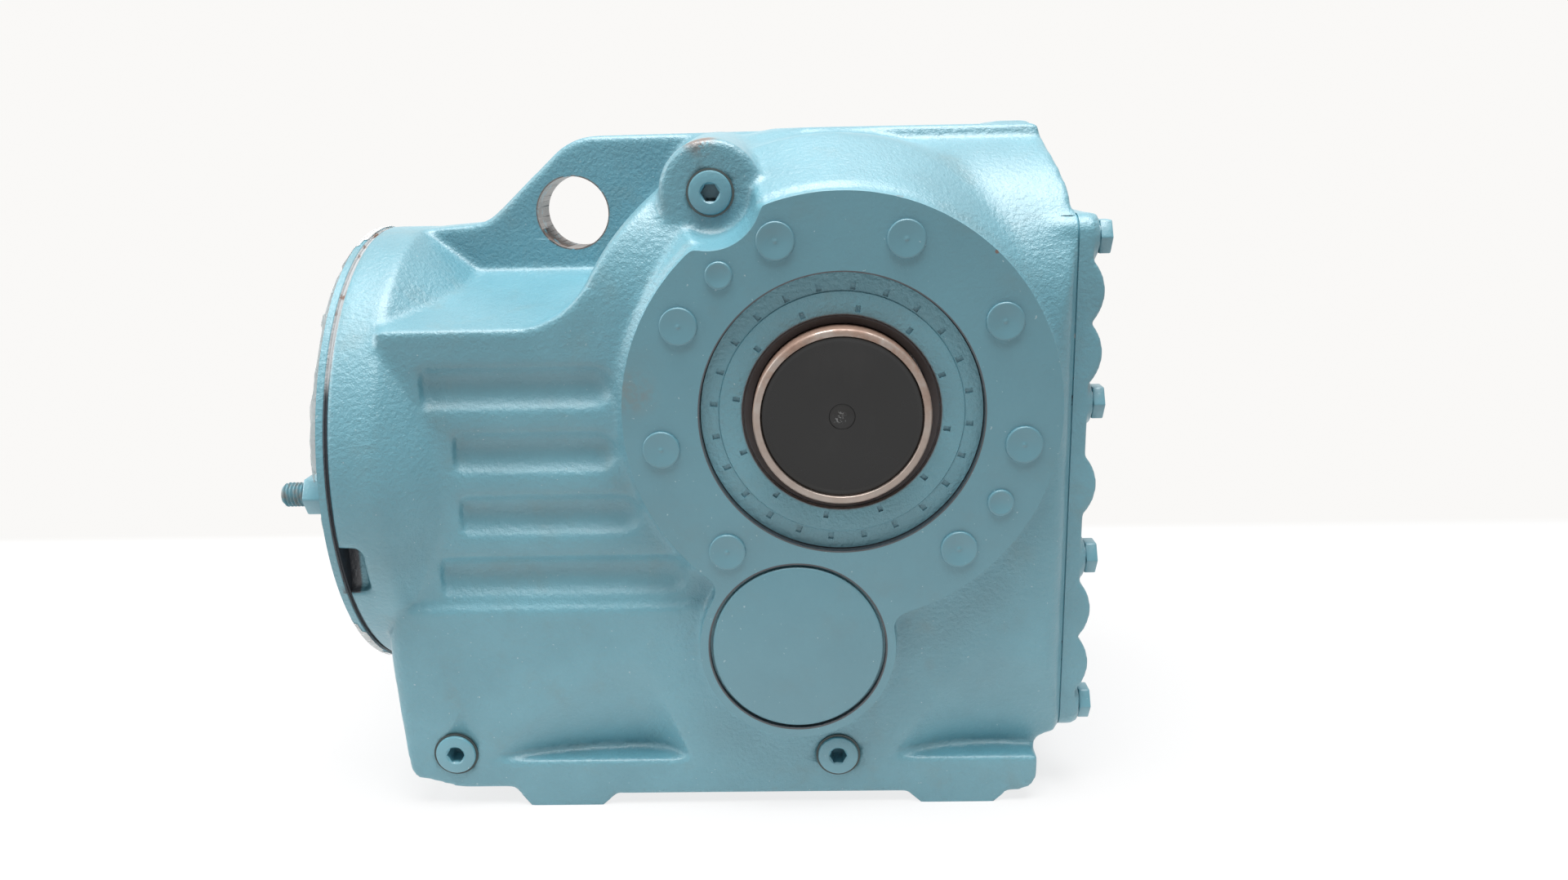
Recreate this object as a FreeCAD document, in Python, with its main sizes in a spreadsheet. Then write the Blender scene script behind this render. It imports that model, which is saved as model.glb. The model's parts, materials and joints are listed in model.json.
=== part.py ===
import FreeCAD, Part
import Sketcher
import math
import os
import re

# Helical bevel gearbox with a hollow output shaft, in millimetres.
# The output axis is Y through the origin, the input comes in along X from the left, and Z is up.

Vector = FreeCAD.Vector
doc = FreeCAD.newDocument("helical_bevel_gearbox")

DRIVING = [
    # housing, outside
    ("centre_height", 212), ("face_half", 115), ("face_d", 210), ("drum_d", 262), ("drum_half", 60),
    ("top_height", 134), ("ridge_half", 36), ("sump_half", 104), ("wall_half", 90), ("step_height", 92),
    ("crease_height", 40), ("shoulder_height", 34), ("shoulder_radius", 96), ("crease_radius", 80),
    ("crease_d", 276), ("crease_blend", 45),
    ("slope_height", 61),
    ("left_end", 235), ("left_foot", 229), ("left_lift", 4), ("slant_high", -118), ("face_edge", 7),
    ("foot_undercut", 11),
    ("corner_radius", 10), ("pad_rise", 1), ("end_pad_rise", 1.6), ("end_pad_length", 20),
    ("base_height", 6), ("foot_width", 38), ("foot_spacing", 206), ("foot_middle", -43.5), ("foot_half_gap",
            56),
    ("foot_hole_d", 13.9), ("foot_hole_half", 89), ("foot_hole_depth", 22),
    ("groove_top", 11), ("groove_radius", 14), ("groove_pitch", 33), ("groove_depth", 5.5),
    ("pocket_depth", 15), ("pocket_height", 50), ("pocket_low_height", 32), ("foot_thick", 26),
    # lifting lug
    ("lug_thick", 30), ("lug_hole_d", 38.5), ("lug_hole_x", -141.5), ("lug_hole_z", 92), ("lug_rim", 40),
    # input neck
    ("neck_d", 245), ("neck_end", 246.5), ("neck_width", 22.5), ("neck_slope", 28), ("spigot_d", 180),
    # inside of the housing
    ("floor_thick", 10), ("drum_room_d", 236), ("drum_room_half", 71), ("sump_room_half", 80),
    ("wall_room_half", 77),
    ("right_wall", 18), ("tube_wall", 10.5), ("web_thick", 24),
    # hollow shaft and its seats
    ("bore_d", 60), ("hub_d", 85), ("shaft_half", 120), ("key_width", 18), ("key_depth", 4.4),
    ("cap_seat_d", 77.5),
    ("cap_seat_depth", 9), ("cap_recess", 3), ("gear_seat_d", 95), ("gear_key_width", 25),
    ("gear_key_depth", 9), ("seal_d", 136), ("seal_width", 14), ("seal_recess", 4),
    ("bolt_circle_d", 176), ("bolt_hole_d", 10.2), ("bolt_hole_depth", 24), ("dowel_hole_d", 8),
    ("hole_cap_d", 18), ("hole_cap_rise", 1.6), ("dowel_cap_d", 13),
    # bearings: bore, outside, width
    ("out_bore_d", 85), ("out_ring_d", 130), ("out_ring_width", 22), ("out_ball_d", 14),
    ("mid_bore_d", 45), ("mid_ring_d", 85), ("mid_ring_width", 21), ("mid_roller_d", 10),
    ("in_bore_d", 40), ("in_ring_d", 68), ("in_ring_width", 15), ("in_ball_d", 8),
    # gear stages: normal module, teeth, helix or spiral angle in degrees, width
    ("module_last", 3), ("pinion_last", 17), ("wheel_last", 61), ("helix_last", 14.6), ("width_last", 50),
    ("lean_last", 10.9),
    ("module_bevel", 3.4), ("pinion_bevel", 14), ("wheel_bevel", 41), ("spiral_bevel", 25), ("width_bevel",
            21),
    ("bevel_margin", 0.6), ("addendum_shift", 0.35),
    ("module_first", 2.5), ("pinion_first", 17), ("wheel_first", 45), ("helix_first", 18), ("width_first",
            28),
    ("flank_gap", 0.25), ("press_angle", 20),
    # intermediate shaft
    ("mid_cap_d", 88), ("mid_cap_thick", 7), ("mid_cap_gap", 1.3), ("mid_boss_d", 98), ("mid_boss_blend",
            8), ("mid_wheel_seat_d", 56),
    ("mid_key_width", 16), ("mid_key_depth", 6), ("bevel_hub", 52),
    # bevel pinion shaft
    ("head_collar_d", 58), ("near_bearing", 106), ("far_bearing", 155), ("first_wheel_left", 209),
    ("first_seat_d", 38),
    ("first_key_width", 10), ("first_key_depth", 5), ("nut_width", 9),
    # input side
    ("in_shaft_bore_d", 24), ("in_key_width", 8), ("in_key_depth", 3.3), ("plate_thick", 4),
    ("carrier_wall", 8),
    ("gasket_thick", 1), ("film_thick", 1.2), ("stud_shift", 2.5), ("stud_d", 12), ("stud_proud", 28),
    ("in_seal_width", 7), ("in_seal_d", 58), ("in_bore_depth", 52),
    # side cover
    ("cover_thick", 7.5), ("cover_half", 93), ("cover_low", -177), ("cover_high", 91), ("cover_bolt_d", 10),
    ("cover_bolt_pitch", 81.7), ("cover_bolt_inset", 12), ("cover_rib_radius", 22), ("cover_rib_height", 6),
    ("cover_rib_spread", 15),
    ("cover_boss_d", 22), ("cover_boss_rise", 3),
    ("window_inset", 27),
    # screw plugs
    ("plug_head_d", 22), ("plug_head_rise", 2), ("plug_thread_d", 16), ("plug_length", 15), ("plug_hex", 8),
    ("washer_thick", 1), ("plug_hex_depth", 6),
    ("top_plug_x", -61), ("top_plug_z", 104), ("top_boss_d", 50), ("top_boss_y", 90),
    ("low_plug_x", -203), ("low_plug_z", -181), ("floor_plug_x", -3), ("floor_plug_z", -183.5),
    # clearances
    ("fit_gap", 0.03), ("run_gap", 0.3),
]

sheet = doc.addObject("Spreadsheet::Sheet", "Sizes")
for row, (alias, size) in enumerate(DRIVING, 1):
    sheet.set(f"A{row}", alias)
    sheet.set(f"B{row}", str(size))
    sheet.setAlias(f"B{row}", alias)
doc.recompute()

# Positions that follow from the gear data and the driving sizes.
DERIVED = [
    ("centre_last", "module_last * (pinion_last + wheel_last) / 2 / cos(helix_last * 1 deg)"),
    ("mid_x", "-centre_last * sin(lean_last * 1 deg)"),
    ("mid_z", "-centre_last * cos(lean_last * 1 deg)"),
    ("centre_first", "module_first * (pinion_first + wheel_first) / 2 / cos(helix_first * 1 deg)"),
    ("in_z", "mid_z + centre_first"),
    ("bevel_reach", "module_bevel * wheel_bevel / 2"),
    ("bevel_rise", "module_bevel * pinion_bevel / 2"),
    ("head_heel", "mid_x - bevel_reach"),
    ("bevel_outer", "sqrt(bevel_reach ^ 2 + bevel_rise ^ 2)"),
    ("bevel_inner", "bevel_outer - width_bevel"),
    ("blank_inner", "bevel_inner - bevel_margin"),
    ("blank_outer", "bevel_outer + bevel_margin"),
    ("wheel_depth", "(1.25 + addendum_shift) * module_bevel"),
    ("wheel_toe", "(bevel_rise + wheel_depth * bevel_reach / bevel_outer) * blank_inner / bevel_outer"),
    ("wheel_back", "bevel_hub"),
    ("first_wheel_right", "first_wheel_left - width_first"),
    ("floor_z", "-centre_height + base_height + floor_thick"),
    ("base_z", "-centre_height + base_height"),
    ("seal_in", "face_half - seal_recess - seal_width"),
    ("out_ring_out", "seal_in - 2"),
    ("out_ring_in", "out_ring_out - out_ring_width"),
    ("mid_ring_out", "face_half - mid_cap_thick - 3"),
    ("mid_ring_in", "mid_ring_out - mid_ring_width"),
    ("gear_out", "drum_room_half - 14"),
    ("gear_in", "gear_out - width_last"),
    ("right_end", "face_d / 2 + face_edge"),
    ("right_foot", "right_end - foot_undercut"),
    ("room_right", "right_end - right_wall"),
    ("stud_circle_d", "(spigot_d + neck_d) / 2 + stud_shift"),
    ("cover_x", "right_end + pad_rise"),
    ("cover_mid_z", "(cover_low + cover_high) / 2"),
    ("plate_in", "neck_end + gasket_thick"),
    ("plate_out", "plate_in + plate_thick"),
    ("stack_out", "plate_out - in_seal_width - 1"),
    ("stack_in", "stack_out - 2 * in_ring_width"),
    ("tube_d", "mid_ring_d + 2 * tube_wall"),
    ("blend_arm", "face_d / 2 + mid_boss_blend"),
    ("blend_far", "mid_boss_d / 2 + mid_boss_blend"),
    ("blend_turn", "acos((blend_arm ^ 2 + centre_last ^ 2 - blend_far ^ 2) / (2 * blend_arm * centre_last))"),
]
layout = doc.addObject("Spreadsheet::Sheet", "Layout")
HOME = {alias: "Sizes" for alias, _ in DRIVING}


def named(expression):
    """The expression with every alias given its sheet's name."""
    def full(match):
        word = match.group(0)
        return f"{HOME[word]}.{word}" if word in HOME else word
    return re.sub(r"(?<![\w.])[a-z]\w*", full, str(expression))


for row, (alias, formula) in enumerate(DERIVED, 1):
    layout.set(f"A{row}", alias)
    layout.set(f"B{row}", "=" + named(formula))
    layout.setAlias(f"B{row}", alias)
    HOME[alias] = "Layout"
doc.recompute()


def number(expression):
    """The present value of an expression over the two sheets."""
    return float(layout.evalExpression(named(expression)))


# Sketches and features


def draw(sketch, corners):
    """A closed outline: (u, v) corners, with a third entry where an arc of that radius runs to the next one."""
    spots = [Vector(number(corner[0]), number(corner[1]), 0) for corner in corners]
    count = len(corners)
    firsts = []
    for index, corner in enumerate(corners):
        begin, end = spots[index], spots[(index + 1) % count]
        if len(corner) == 2:
            sketch.addGeometry(Part.LineSegment(begin, end))
            firsts.append((1, 2))
            continue
        radius = number(corner[2])
        chord = end - begin
        side = Vector(-chord.y, chord.x, 0).normalize()
        reach = math.sqrt(radius * radius - chord.Length ** 2 / 4)
        centre = begin + chord * 0.5 + side * math.copysign(reach, radius)
        turn = [math.atan2(p.y - centre.y, p.x - centre.x) for p in (begin, end)]
        circle = Part.Circle(centre, Vector(0, 0, 1), abs(radius))
        if radius > 0:
            sketch.addGeometry(Part.ArcOfCircle(circle, turn[0], turn[1]))
            firsts.append((1, 2))
        else:
            sketch.addGeometry(Part.ArcOfCircle(circle, turn[1], turn[0]))
            firsts.append((2, 1))
    for index in range(count):
        after = (index + 1) % count
        sketch.addConstraint(Sketcher.Constraint("Coincident", index, firsts[index][1], after,
                                                 firsts[after][0]))
    for index, corner in enumerate(corners):
        bind_point(sketch, index, firsts[index][0], spots[index], corner)
        if len(corner) == 3:
            which = sketch.addConstraint(Sketcher.Constraint("Radius", index, abs(number(corner[2]))))
            sketch.renameConstraint(which, f"arc{index}")
            sketch.setExpression(f"Constraints.arc{index}", named(f"abs({corner[2]})"))


def bind_point(sketch, index, end, spot, corner):
    """Ties one corner of an outline to the cells that place it."""
    for axis, place, kind, zero in (("u", spot.x, "DistanceX", -2), ("v", spot.y, "DistanceY", -1)):
        if abs(place) < 1e-9:
            sketch.addConstraint(Sketcher.Constraint("PointOnObject", index, end, zero))
            continue
        which = sketch.addConstraint(Sketcher.Constraint(kind, -1, 1, index, end, place))
        sketch.renameConstraint(which, f"{axis}{index}")
        sketch.setExpression(f"Constraints.{axis}{index}", named(corner[0] if axis == "u" else corner[1]))


TURNS = {
    "X": FreeCAD.Rotation(),
    "-X": FreeCAD.Rotation(Vector(0, 0, 1), 180),
    "Y": FreeCAD.Rotation(Vector(0, 0, 1), 90),
    "Z": FreeCAD.Rotation(Vector(0, 1, 0), -90),
}


def put(item, axis="X", at=("0", "0", "0")):
    """Turns an object's own X to the named axis and moves it to a place bound to the sheets."""
    item.Placement = FreeCAD.Placement(Vector(*[number(a) for a in at]), TURNS[axis])
    for letter, place in zip("xyz", at):
        item.setExpression(f".Placement.Base.{letter}", named(place))
    return item


def plane_of(body, role):
    return [item for item in body.Origin.OriginFeatures if item.Role == role][0]


def turned(label, corners, axis="X", at=("0", "0", "0")):
    """A body turned about its axis from an outline of (place along the axis, radius)."""
    body = doc.addObject("PartDesign::Body", label)
    sketch = body.newObject("Sketcher::SketchObject", label + "_outline")
    sketch.AttachmentSupport = [(plane_of(body, "XY_Plane"), "")]
    sketch.MapMode = "FlatFace"
    draw(sketch, corners)
    turn = body.newObject("PartDesign::Revolution", label + "_turn")
    turn.Profile = sketch
    turn.ReferenceAxis = (sketch, ["H_Axis"])
    turn.Angle = 360
    body.Tip = turn
    return put(body, axis, at)


def ring(label, inner_d, outer_d, begin, end, axis="X", at=("0", "0", "0")):
    inner, outer = f"({inner_d}) / 2", f"({outer_d}) / 2"
    return turned(label, [(begin, inner), (end, inner), (end, outer), (begin, outer)], axis, at)


FLATS = {
    "front": FreeCAD.Rotation(Vector(1, 0, 0), 90),
    "side": FreeCAD.Rotation(Vector(1, 1, 1), 120),
    "plan": FreeCAD.Rotation(),
}


def prism(label, view, corners, begin, end):
    """An outline drawn in a view and carried from begin to end along Y (front), X (side) or Z (plan)."""
    sketch = doc.addObject("Sketcher::SketchObject", label + "_outline")
    sketch.Placement = FreeCAD.Placement(Vector(), FLATS[view])
    letter, way = {"front": ("y", -1), "side": ("x", 1), "plan": ("z", 1)}[view]
    draw(sketch, corners)
    sketch.setExpression(f".Placement.Base.{letter}", named(begin))
    solid = doc.addObject("Part::Extrusion", label)
    solid.Base = sketch
    solid.DirMode = "Normal"
    solid.Solid = True
    solid.setExpression("LengthFwd", named(f"{way} * (({end}) - ({begin}))"))
    return solid


def cylinder(label, diameter, begin, end, axis, at=("0", "0", "0")):
    """A plain round bar from begin to end along its axis, through the point at."""
    bar = doc.addObject("Part::Cylinder", label)
    bar.setExpression("Radius", named(f"({diameter}) / 2"))
    bar.setExpression("Height", named(f"({end}) - ({begin})"))
    turn = {"X": FreeCAD.Rotation(Vector(0, 1, 0), 90), "Y": FreeCAD.Rotation(Vector(1, 0, 0), -90),
            "Z": FreeCAD.Rotation()}
    bar.Placement = FreeCAD.Placement(Vector(), turn[axis])
    for letter, place in zip("xyz", at):
        shift = f" + ({begin})" if letter == axis.lower() else ""
        bar.setExpression(f".Placement.Base.{letter}", named(f"({place}){shift}"))
    return bar


def box(label, x_span, y_span, z_span):
    block = doc.addObject("Part::Box", label)
    for side, letter, (begin, end) in zip(("Length", "Width", "Height"), "xyz", (x_span, y_span, z_span)):
        block.setExpression(side, named(f"({end}) - ({begin})"))
        block.setExpression(f".Placement.Base.{letter}", named(begin))
    return block


def fused(label, items):
    whole = doc.addObject("Part::MultiFuse", label)
    whole.Shapes = items
    return whole


def cut(label, base, tool):
    rest = doc.addObject("Part::Cut", label)
    rest.Base = base
    rest.Tool = tool
    return rest


def shared(label, items):
    both = doc.addObject("Part::MultiCommon", label)
    both.Shapes = items
    return both


def group(label, items):
    """Several loose solids kept as one named piece."""
    several = doc.addObject("Part::Compound", label)
    several.Links = items
    return several


def mirrored(label, item):
    """The same piece on the other side of the housing's middle plane."""
    twin = doc.addObject("Part::Mirroring", label)
    twin.Source = item
    twin.Normal = Vector(0, 1, 0)
    twin.Base = Vector()
    return twin


def both_sides(label, item):
    return group(label, [item, mirrored(label + "_far", item)])


def shaped(label, shape):
    """A piece whose form only the kernel's own functions can give."""
    piece = doc.addObject("Part::Feature", label)
    piece.Shape = shape
    return piece


def around(count, start=0.0):
    """Evenly spaced angles round a full turn, in degrees."""
    return [start + 360.0 * step / count for step in range(count)]


NODES = []


def node(item):
    NODES.append(item)
    return item


# Gear teeth


def involute(angle):
    return math.tan(angle) - angle


def flank(pitch_r, base_r, half_thick, radii):
    """Polar half angles of a tooth's flank at the given radii."""
    start = half_thick / pitch_r + involute(math.acos(base_r / pitch_r))
    return [start - involute(math.acos(min(1.0, base_r / max(r, base_r)))) for r in radii]


def spread(begin, end, count):
    return [begin + (end - begin) * step / (count - 1) for step in range(count)]


def spline(points):
    curve = Part.BSplineCurve()
    curve.interpolate(points)
    return curve.toShape()


def polar(radius, angle, along=0.0):
    return Vector(along, radius * math.cos(angle), radius * math.sin(angle))


def helical_wire(teeth, normal_module, helix, press, thin, phase, along):
    """The tooth outline across the shaft at one place along it, about the X axis."""
    across = normal_module / math.cos(helix)
    pitch_r = across * teeth / 2
    base_r = pitch_r * math.cos(math.atan(math.tan(press) / math.cos(helix)))
    tip_r, root_r = pitch_r + normal_module, pitch_r - 1.25 * normal_module
    half = math.pi * across / 4 - thin / math.cos(helix) / math.cos(press)
    radii = spread(root_r, tip_r, 6)
    angles = flank(pitch_r, base_r, half, radii)
    pitch_angle = 2 * math.pi / teeth
    edges = []
    for tooth in range(teeth):
        centre = phase + tooth * pitch_angle
        rise = [polar(r, centre - a, along) for r, a in zip(radii, angles)]
        fall = [polar(r, centre + a, along) for r, a in zip(radii, angles)][::-1]
        following = polar(root_r, centre + pitch_angle - angles[0], along)
        edges.append(spline(rise))
        edges.append(Part.Arc(rise[-1], polar(tip_r, centre, along), fall[0]).toShape())
        edges.append(spline(fall))
        edges.append(Part.Arc(fall[-1], polar(root_r, centre + pitch_angle / 2, along),
                              following).toShape())
    return Part.Wire(edges)


def helical_teeth(teeth, normal_module, helix, press, thin, phase, begin, width, hand):
    """A solid of helical teeth along X, lofted through turned copies of one outline."""
    pitch_r = normal_module * teeth / 2 / math.cos(helix)
    wires = []
    for place in spread(0.0, width, 4):
        twist = hand * (place - width / 2) * math.tan(helix) / pitch_r
        wires.append(helical_wire(teeth, normal_module, helix, press, thin, phase + twist, begin + place))
    return Part.makeLoft(wires, True, False)


def bevel_tooth(teeth, mate, outer_module, press, spiral, width, shift, thin, hand):
    """One tooth of a bevel gear about X with its apex at the origin, lofted through sections along the tooth."""
    cone = math.atan2(teeth, mate)
    outer = outer_module * math.hypot(teeth, mate) / 2
    mean = outer - width / 2
    along = Vector(math.cos(cone), math.sin(cone), 0)
    outward = Vector(-math.sin(cone), math.cos(cone), 0)
    sideways = Vector(0, 0, 1)
    wires = []
    for distance in spread(outer - width, outer, 4):
        scale = distance / outer
        size = outer_module * scale
        pitch_r = distance * math.tan(cone)
        base_r = pitch_r * math.cos(press)
        root_r = pitch_r - (1.25 - shift) * size - 0.6
        tip_r = pitch_r + (1 + shift) * size
        half = size * (math.pi / 4 + shift * math.tan(press)) - thin / math.cos(press)
        radii = spread(root_r, tip_r, 6)
        angles = flank(pitch_r, base_r, half, radii)
        spots = []
        for r, a in zip(radii, angles):
            spots.append(along * distance
                         + outward * (r * math.cos(a) - pitch_r) - sideways * (r * math.sin(a)))
        mirror = [Vector(p.x, p.y, -p.z) for p in spots][::-1]
        edges = [spline(spots), Part.makeLine(spots[-1], mirror[0]), spline(mirror),
                 Part.makeLine(mirror[-1], spots[0])]
        wire = Part.Wire(edges)
        turn = hand * math.tan(spiral) * math.log(distance / mean) / math.sin(cone)
        wire.rotate(Vector(), Vector(1, 0, 0), math.degrees(turn))
        wires.append(wire)
    return Part.makeLoft(wires, True, False)


def bevel_teeth(blank, count, tooth, phase):
    """A turned blank about X with the tooth repeated round it."""
    copies = []
    for angle in around(count, phase):
        copy = tooth.copy()
        copy.rotate(Vector(), Vector(1, 0, 0), angle)
        copies.append(copy)
    return blank.multiFuse(copies)


# Housing


def housing_outside():
    """The outer form of the casting before anything is bored or hollowed."""
    foot = [f"foot_middle + {sign} * foot_spacing / 2 + {side} * foot_width / 2" for sign in (-1,
            1) for side in (-1, 1)]
    front = prism("front_outline", "front", [
        ("-left_end", "slant_high"), ("-left_foot", "base_z + left_lift + 12", "corner_radius"),
        ("-left_foot + corner_radius", "base_z + left_lift + 5"), ("-left_foot + 28", "base_z + left_lift"),
        (f"{foot[0]} - 8", "base_z + left_lift"), (foot[0], "-centre_height"), (foot[1], "-centre_height"),
        (f"{foot[1]} + 7", "base_z"),
        (f"{foot[2]} - 7", "base_z"), (foot[2], "-centre_height"), (foot[3], "-centre_height"),
        (f"{foot[3]} + 7", "base_z"),
        ("right_foot - corner_radius", "base_z", "corner_radius"), ("right_foot", "base_z + corner_radius"),
        ("right_foot", "cover_low - 1 - (right_end - right_foot)", "-(right_end - right_foot)"),
        ("right_end", "cover_low - 1"),
        ("right_end", "cover_high + 8"), ("right_end - 7.5", "top_height - 3"), ("right_end - 9",
                "top_height"),
        ("-left_end + 10", "top_height"), ("-left_end + 10", "slant_high + 16")], "sump_half + 20",
        "-sump_half - 20")
    low = prism("sump_section", "side", [
        ("-sump_half", "-centre_height"), ("sump_half", "-centre_height"), ("sump_half",
                "-step_height - 8"),
        ("wall_half", "-step_height + 6"), ("wall_half", "crease_height"), ("lug_thick / 2",
                "slope_height"),
        ("-lug_thick / 2", "slope_height"), ("-wall_half", "crease_height"), ("-wall_half",
                "-step_height + 6"),
        ("-sump_half", "-step_height - 8")], "-left_end", "right_end")
    high = prism("upper_section", "side", shoulder("sump_half", "-centre_height", "shoulder_height",
                                                   "shoulder_radius"), "-20",
                 "right_end")
    left = shared("upper_left_section", [
        prism("left_shoulder", "side", shoulder("wall_half", "0", "crease_height", "crease_radius"),
              "-drum_d", "0"),
        crease_outline()])
    drum = turned("drum", [
        ("-face_half + 7", "0"), ("face_half - 7", "0"), ("face_half - 7", "face_d / 2 + 1"), ("drum_half",
                "drum_d / 2"),
        ("-drum_half", "drum_d / 2"), ("-face_half + 7", "face_d / 2 + 1")], "Y")
    plan = prism("plan_outline", "plan", [
        ("-left_end + corner_radius", "-sump_half"), ("right_end - corner_radius", "-sump_half",
                                                      "corner_radius"),
        ("right_end", "-sump_half + corner_radius"), ("right_end", "sump_half - corner_radius",
                                                      "corner_radius"),
        ("right_end - corner_radius", "sump_half"), ("-left_end + corner_radius", "sump_half",
                                                     "corner_radius"),
        ("-left_end", "sump_half - corner_radius"), ("-left_end", "-sump_half + corner_radius",
                                                     "corner_radius")],
        "-centre_height - 1", "top_height + 1")
    trunk = cut("trunk", shared("plain_trunk", [fused("sections", [low, high, left, drum]), front, plan]),
                wall_grooves())
    neck = turned("neck", [
        ("-neck_end", "0"), ("-neck_end + neck_width + neck_slope + 9", "0"),
        ("-neck_end + neck_width + neck_slope + 9", "58"),
        ("-neck_end + neck_width + neck_slope", "wall_half - 2"), ("-neck_end + neck_width", "neck_d / 2"),
        ("-neck_end + 1.5", "neck_d / 2"), ("-neck_end", "neck_d / 2 - 1.5")], "X", ("0", "0", "in_z"))
    faces = fused("face_pair", [
        cylinder("face_disc", "face_d", "-face_half", "face_half", "Y"),
        cylinder("mid_boss", "mid_boss_d", "-face_half", "face_half", "Y", ("mid_x", "0", "mid_z")),
        face_blend("+"), face_blend("-")])
    pad = prism("cover_pad", "side", cover_corners("0"), "right_end - 10", "cover_x")
    end_pad = box("end_pad", ("right_end - 8 - end_pad_length", "right_end - 9.5"), ("-ridge_half / 2",
            "ridge_half - 4"),
                  ("top_height - 3", "top_height + end_pad_rise"))
    return fused("outside", [trunk, neck, faces, lug(), pad, end_pad] + plug_bosses())


def crease_outline():
    """What the shoulder covers in the front view: a round about the drum that runs out into the level crease."""
    far = "sqrt((crease_d / 2 + crease_blend) ^ 2 - (crease_height + crease_blend) ^ 2)"
    share = "crease_d / 2 / (crease_d / 2 + crease_blend)"
    return prism("crease_round", "front", [
        ("0", "0"), ("0", "top_height"), ("-sqrt((crease_d / 2) ^ 2 - top_height ^ 2)", "top_height",
                                          "crease_d / 2"),
        (f"-{far} * {share}", f"(crease_height + crease_blend) * {share}", "-crease_blend"), (f"-{far}",
                "crease_height"),
        (f"-{far}", "0")], "wall_half", "-wall_half")


def shoulder(half, low, height, radius):
    """The section of the upper housing: upright walls that curve back to the flat ridge on top."""
    return [
        (f"-{half}", low), (half, low), (half, height, radius), ("ridge_half", "top_height - 7"),
        ("ridge_half - 2", "top_height"),
        ("-ridge_half + 2", "top_height"), ("-ridge_half", "top_height - 7", radius), (f"-{half}", height)]


def plug_bosses():
    """A tapered boss on each side of the drum for the upper screw plug."""
    bosses = []
    for side in (-1, 1):
        boss = doc.addObject("Part::Cone", "top_boss")
        boss.setExpression("Radius1", named("top_boss_d / 2 + 4"))
        boss.setExpression("Radius2", named("top_boss_d / 2"))
        boss.setExpression("Height", named("top_boss_y - lug_thick / 2"))
        boss.Placement = FreeCAD.Placement(Vector(), FreeCAD.Rotation(Vector(1, 0, 0), -90 * side))
        for letter, place in zip("xyz", ("top_plug_x", f"{side} * lug_thick / 2", "top_plug_z")):
            boss.setExpression(f".Placement.Base.{letter}", named(place))
        bosses.append(boss)
    return bosses


def face_blend(sign):
    """The hollow fillet between the round output face and the boss of the intermediate shaft."""
    lean = f"(lean_last * 1 deg {sign} blend_turn)"
    x, z = f"-blend_arm * sin{lean}", f"-blend_arm * cos{lean}"
    corners = [("0", "0"), ("mid_x", "mid_z"), (x, z)]
    wedge = prism("blend_wedge", "front", corners if sign == "-" else corners[::-1], "face_half",
                  "-face_half")
    return cut("blend", wedge, cylinder("blend_round", "2 * mid_boss_blend", "-face_half - 1",
                                        "face_half + 1", "Y", (x, "0", z)))


def cover_corners(inset):
    """The outline of the side cover and of everything that follows its edge."""
    out, arc = f"cover_half - {inset}", "corner_radius"
    low, high = f"cover_low + {inset}", f"cover_high - {inset}"
    return [
        (f"-({out}) + {arc}", low), (f"{out} - {arc}", low, arc), (out, f"{low} + {arc}"), (out,
                f"{high} - {arc}", arc),
        (f"{out} - {arc}", high), (f"-({out}) + {arc}", high, arc), (f"-({out})", f"{high} - {arc}"),
        (f"-({out})", f"{low} + {arc}", arc)]


def lug():
    """The upright lifting lug on the middle plane, from the neck to the top of the drum."""
    return prism("lug_plate", "front", [
        ("-left_end + 11", "0"), ("-face_d / 2 + 90", "0"), ("-face_d / 2 + 90", "top_height - 1"),
        ("lug_hole_x + 9", "lug_hole_z + lug_rim", "12"),
        ("lug_hole_x - 5", "lug_hole_z + lug_rim - 6"), ("lug_hole_x - 40", "lug_hole_z + 2", "-26"),
        ("lug_hole_x - 52", "lug_hole_z - 5"), ("-left_end + 11", "lug_hole_z - 7.5")], "lug_thick / 2",
        "-lug_thick / 2")


def wall_grooves():
    """Four round grooves along each flank of the trunk, each with a round end beside the drum."""
    grooves = []
    for side in (-1, 1):
        for step in range(4):
            height = f"(groove_top - {step} * groove_pitch)"
            depth = f"{side} * (wall_half - groove_depth + groove_radius)"
            end = f"-sqrt((face_d / 2 + 1.2 * groove_radius) ^ 2 - {height} ^ 2)"
            grooves.append(cylinder("groove", "2 * groove_radius", "-left_end + 4", end, "X", ("0", depth,
                    height)))
            tip = doc.addObject("Part::Sphere", "groove_tip")
            tip.setExpression("Radius", named("groove_radius"))
            for letter, place in zip("xyz", (end, depth, height)):
                tip.setExpression(f".Placement.Base.{letter}", named(place))
            grooves.append(tip)
    return fused("grooves", grooves)


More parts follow.
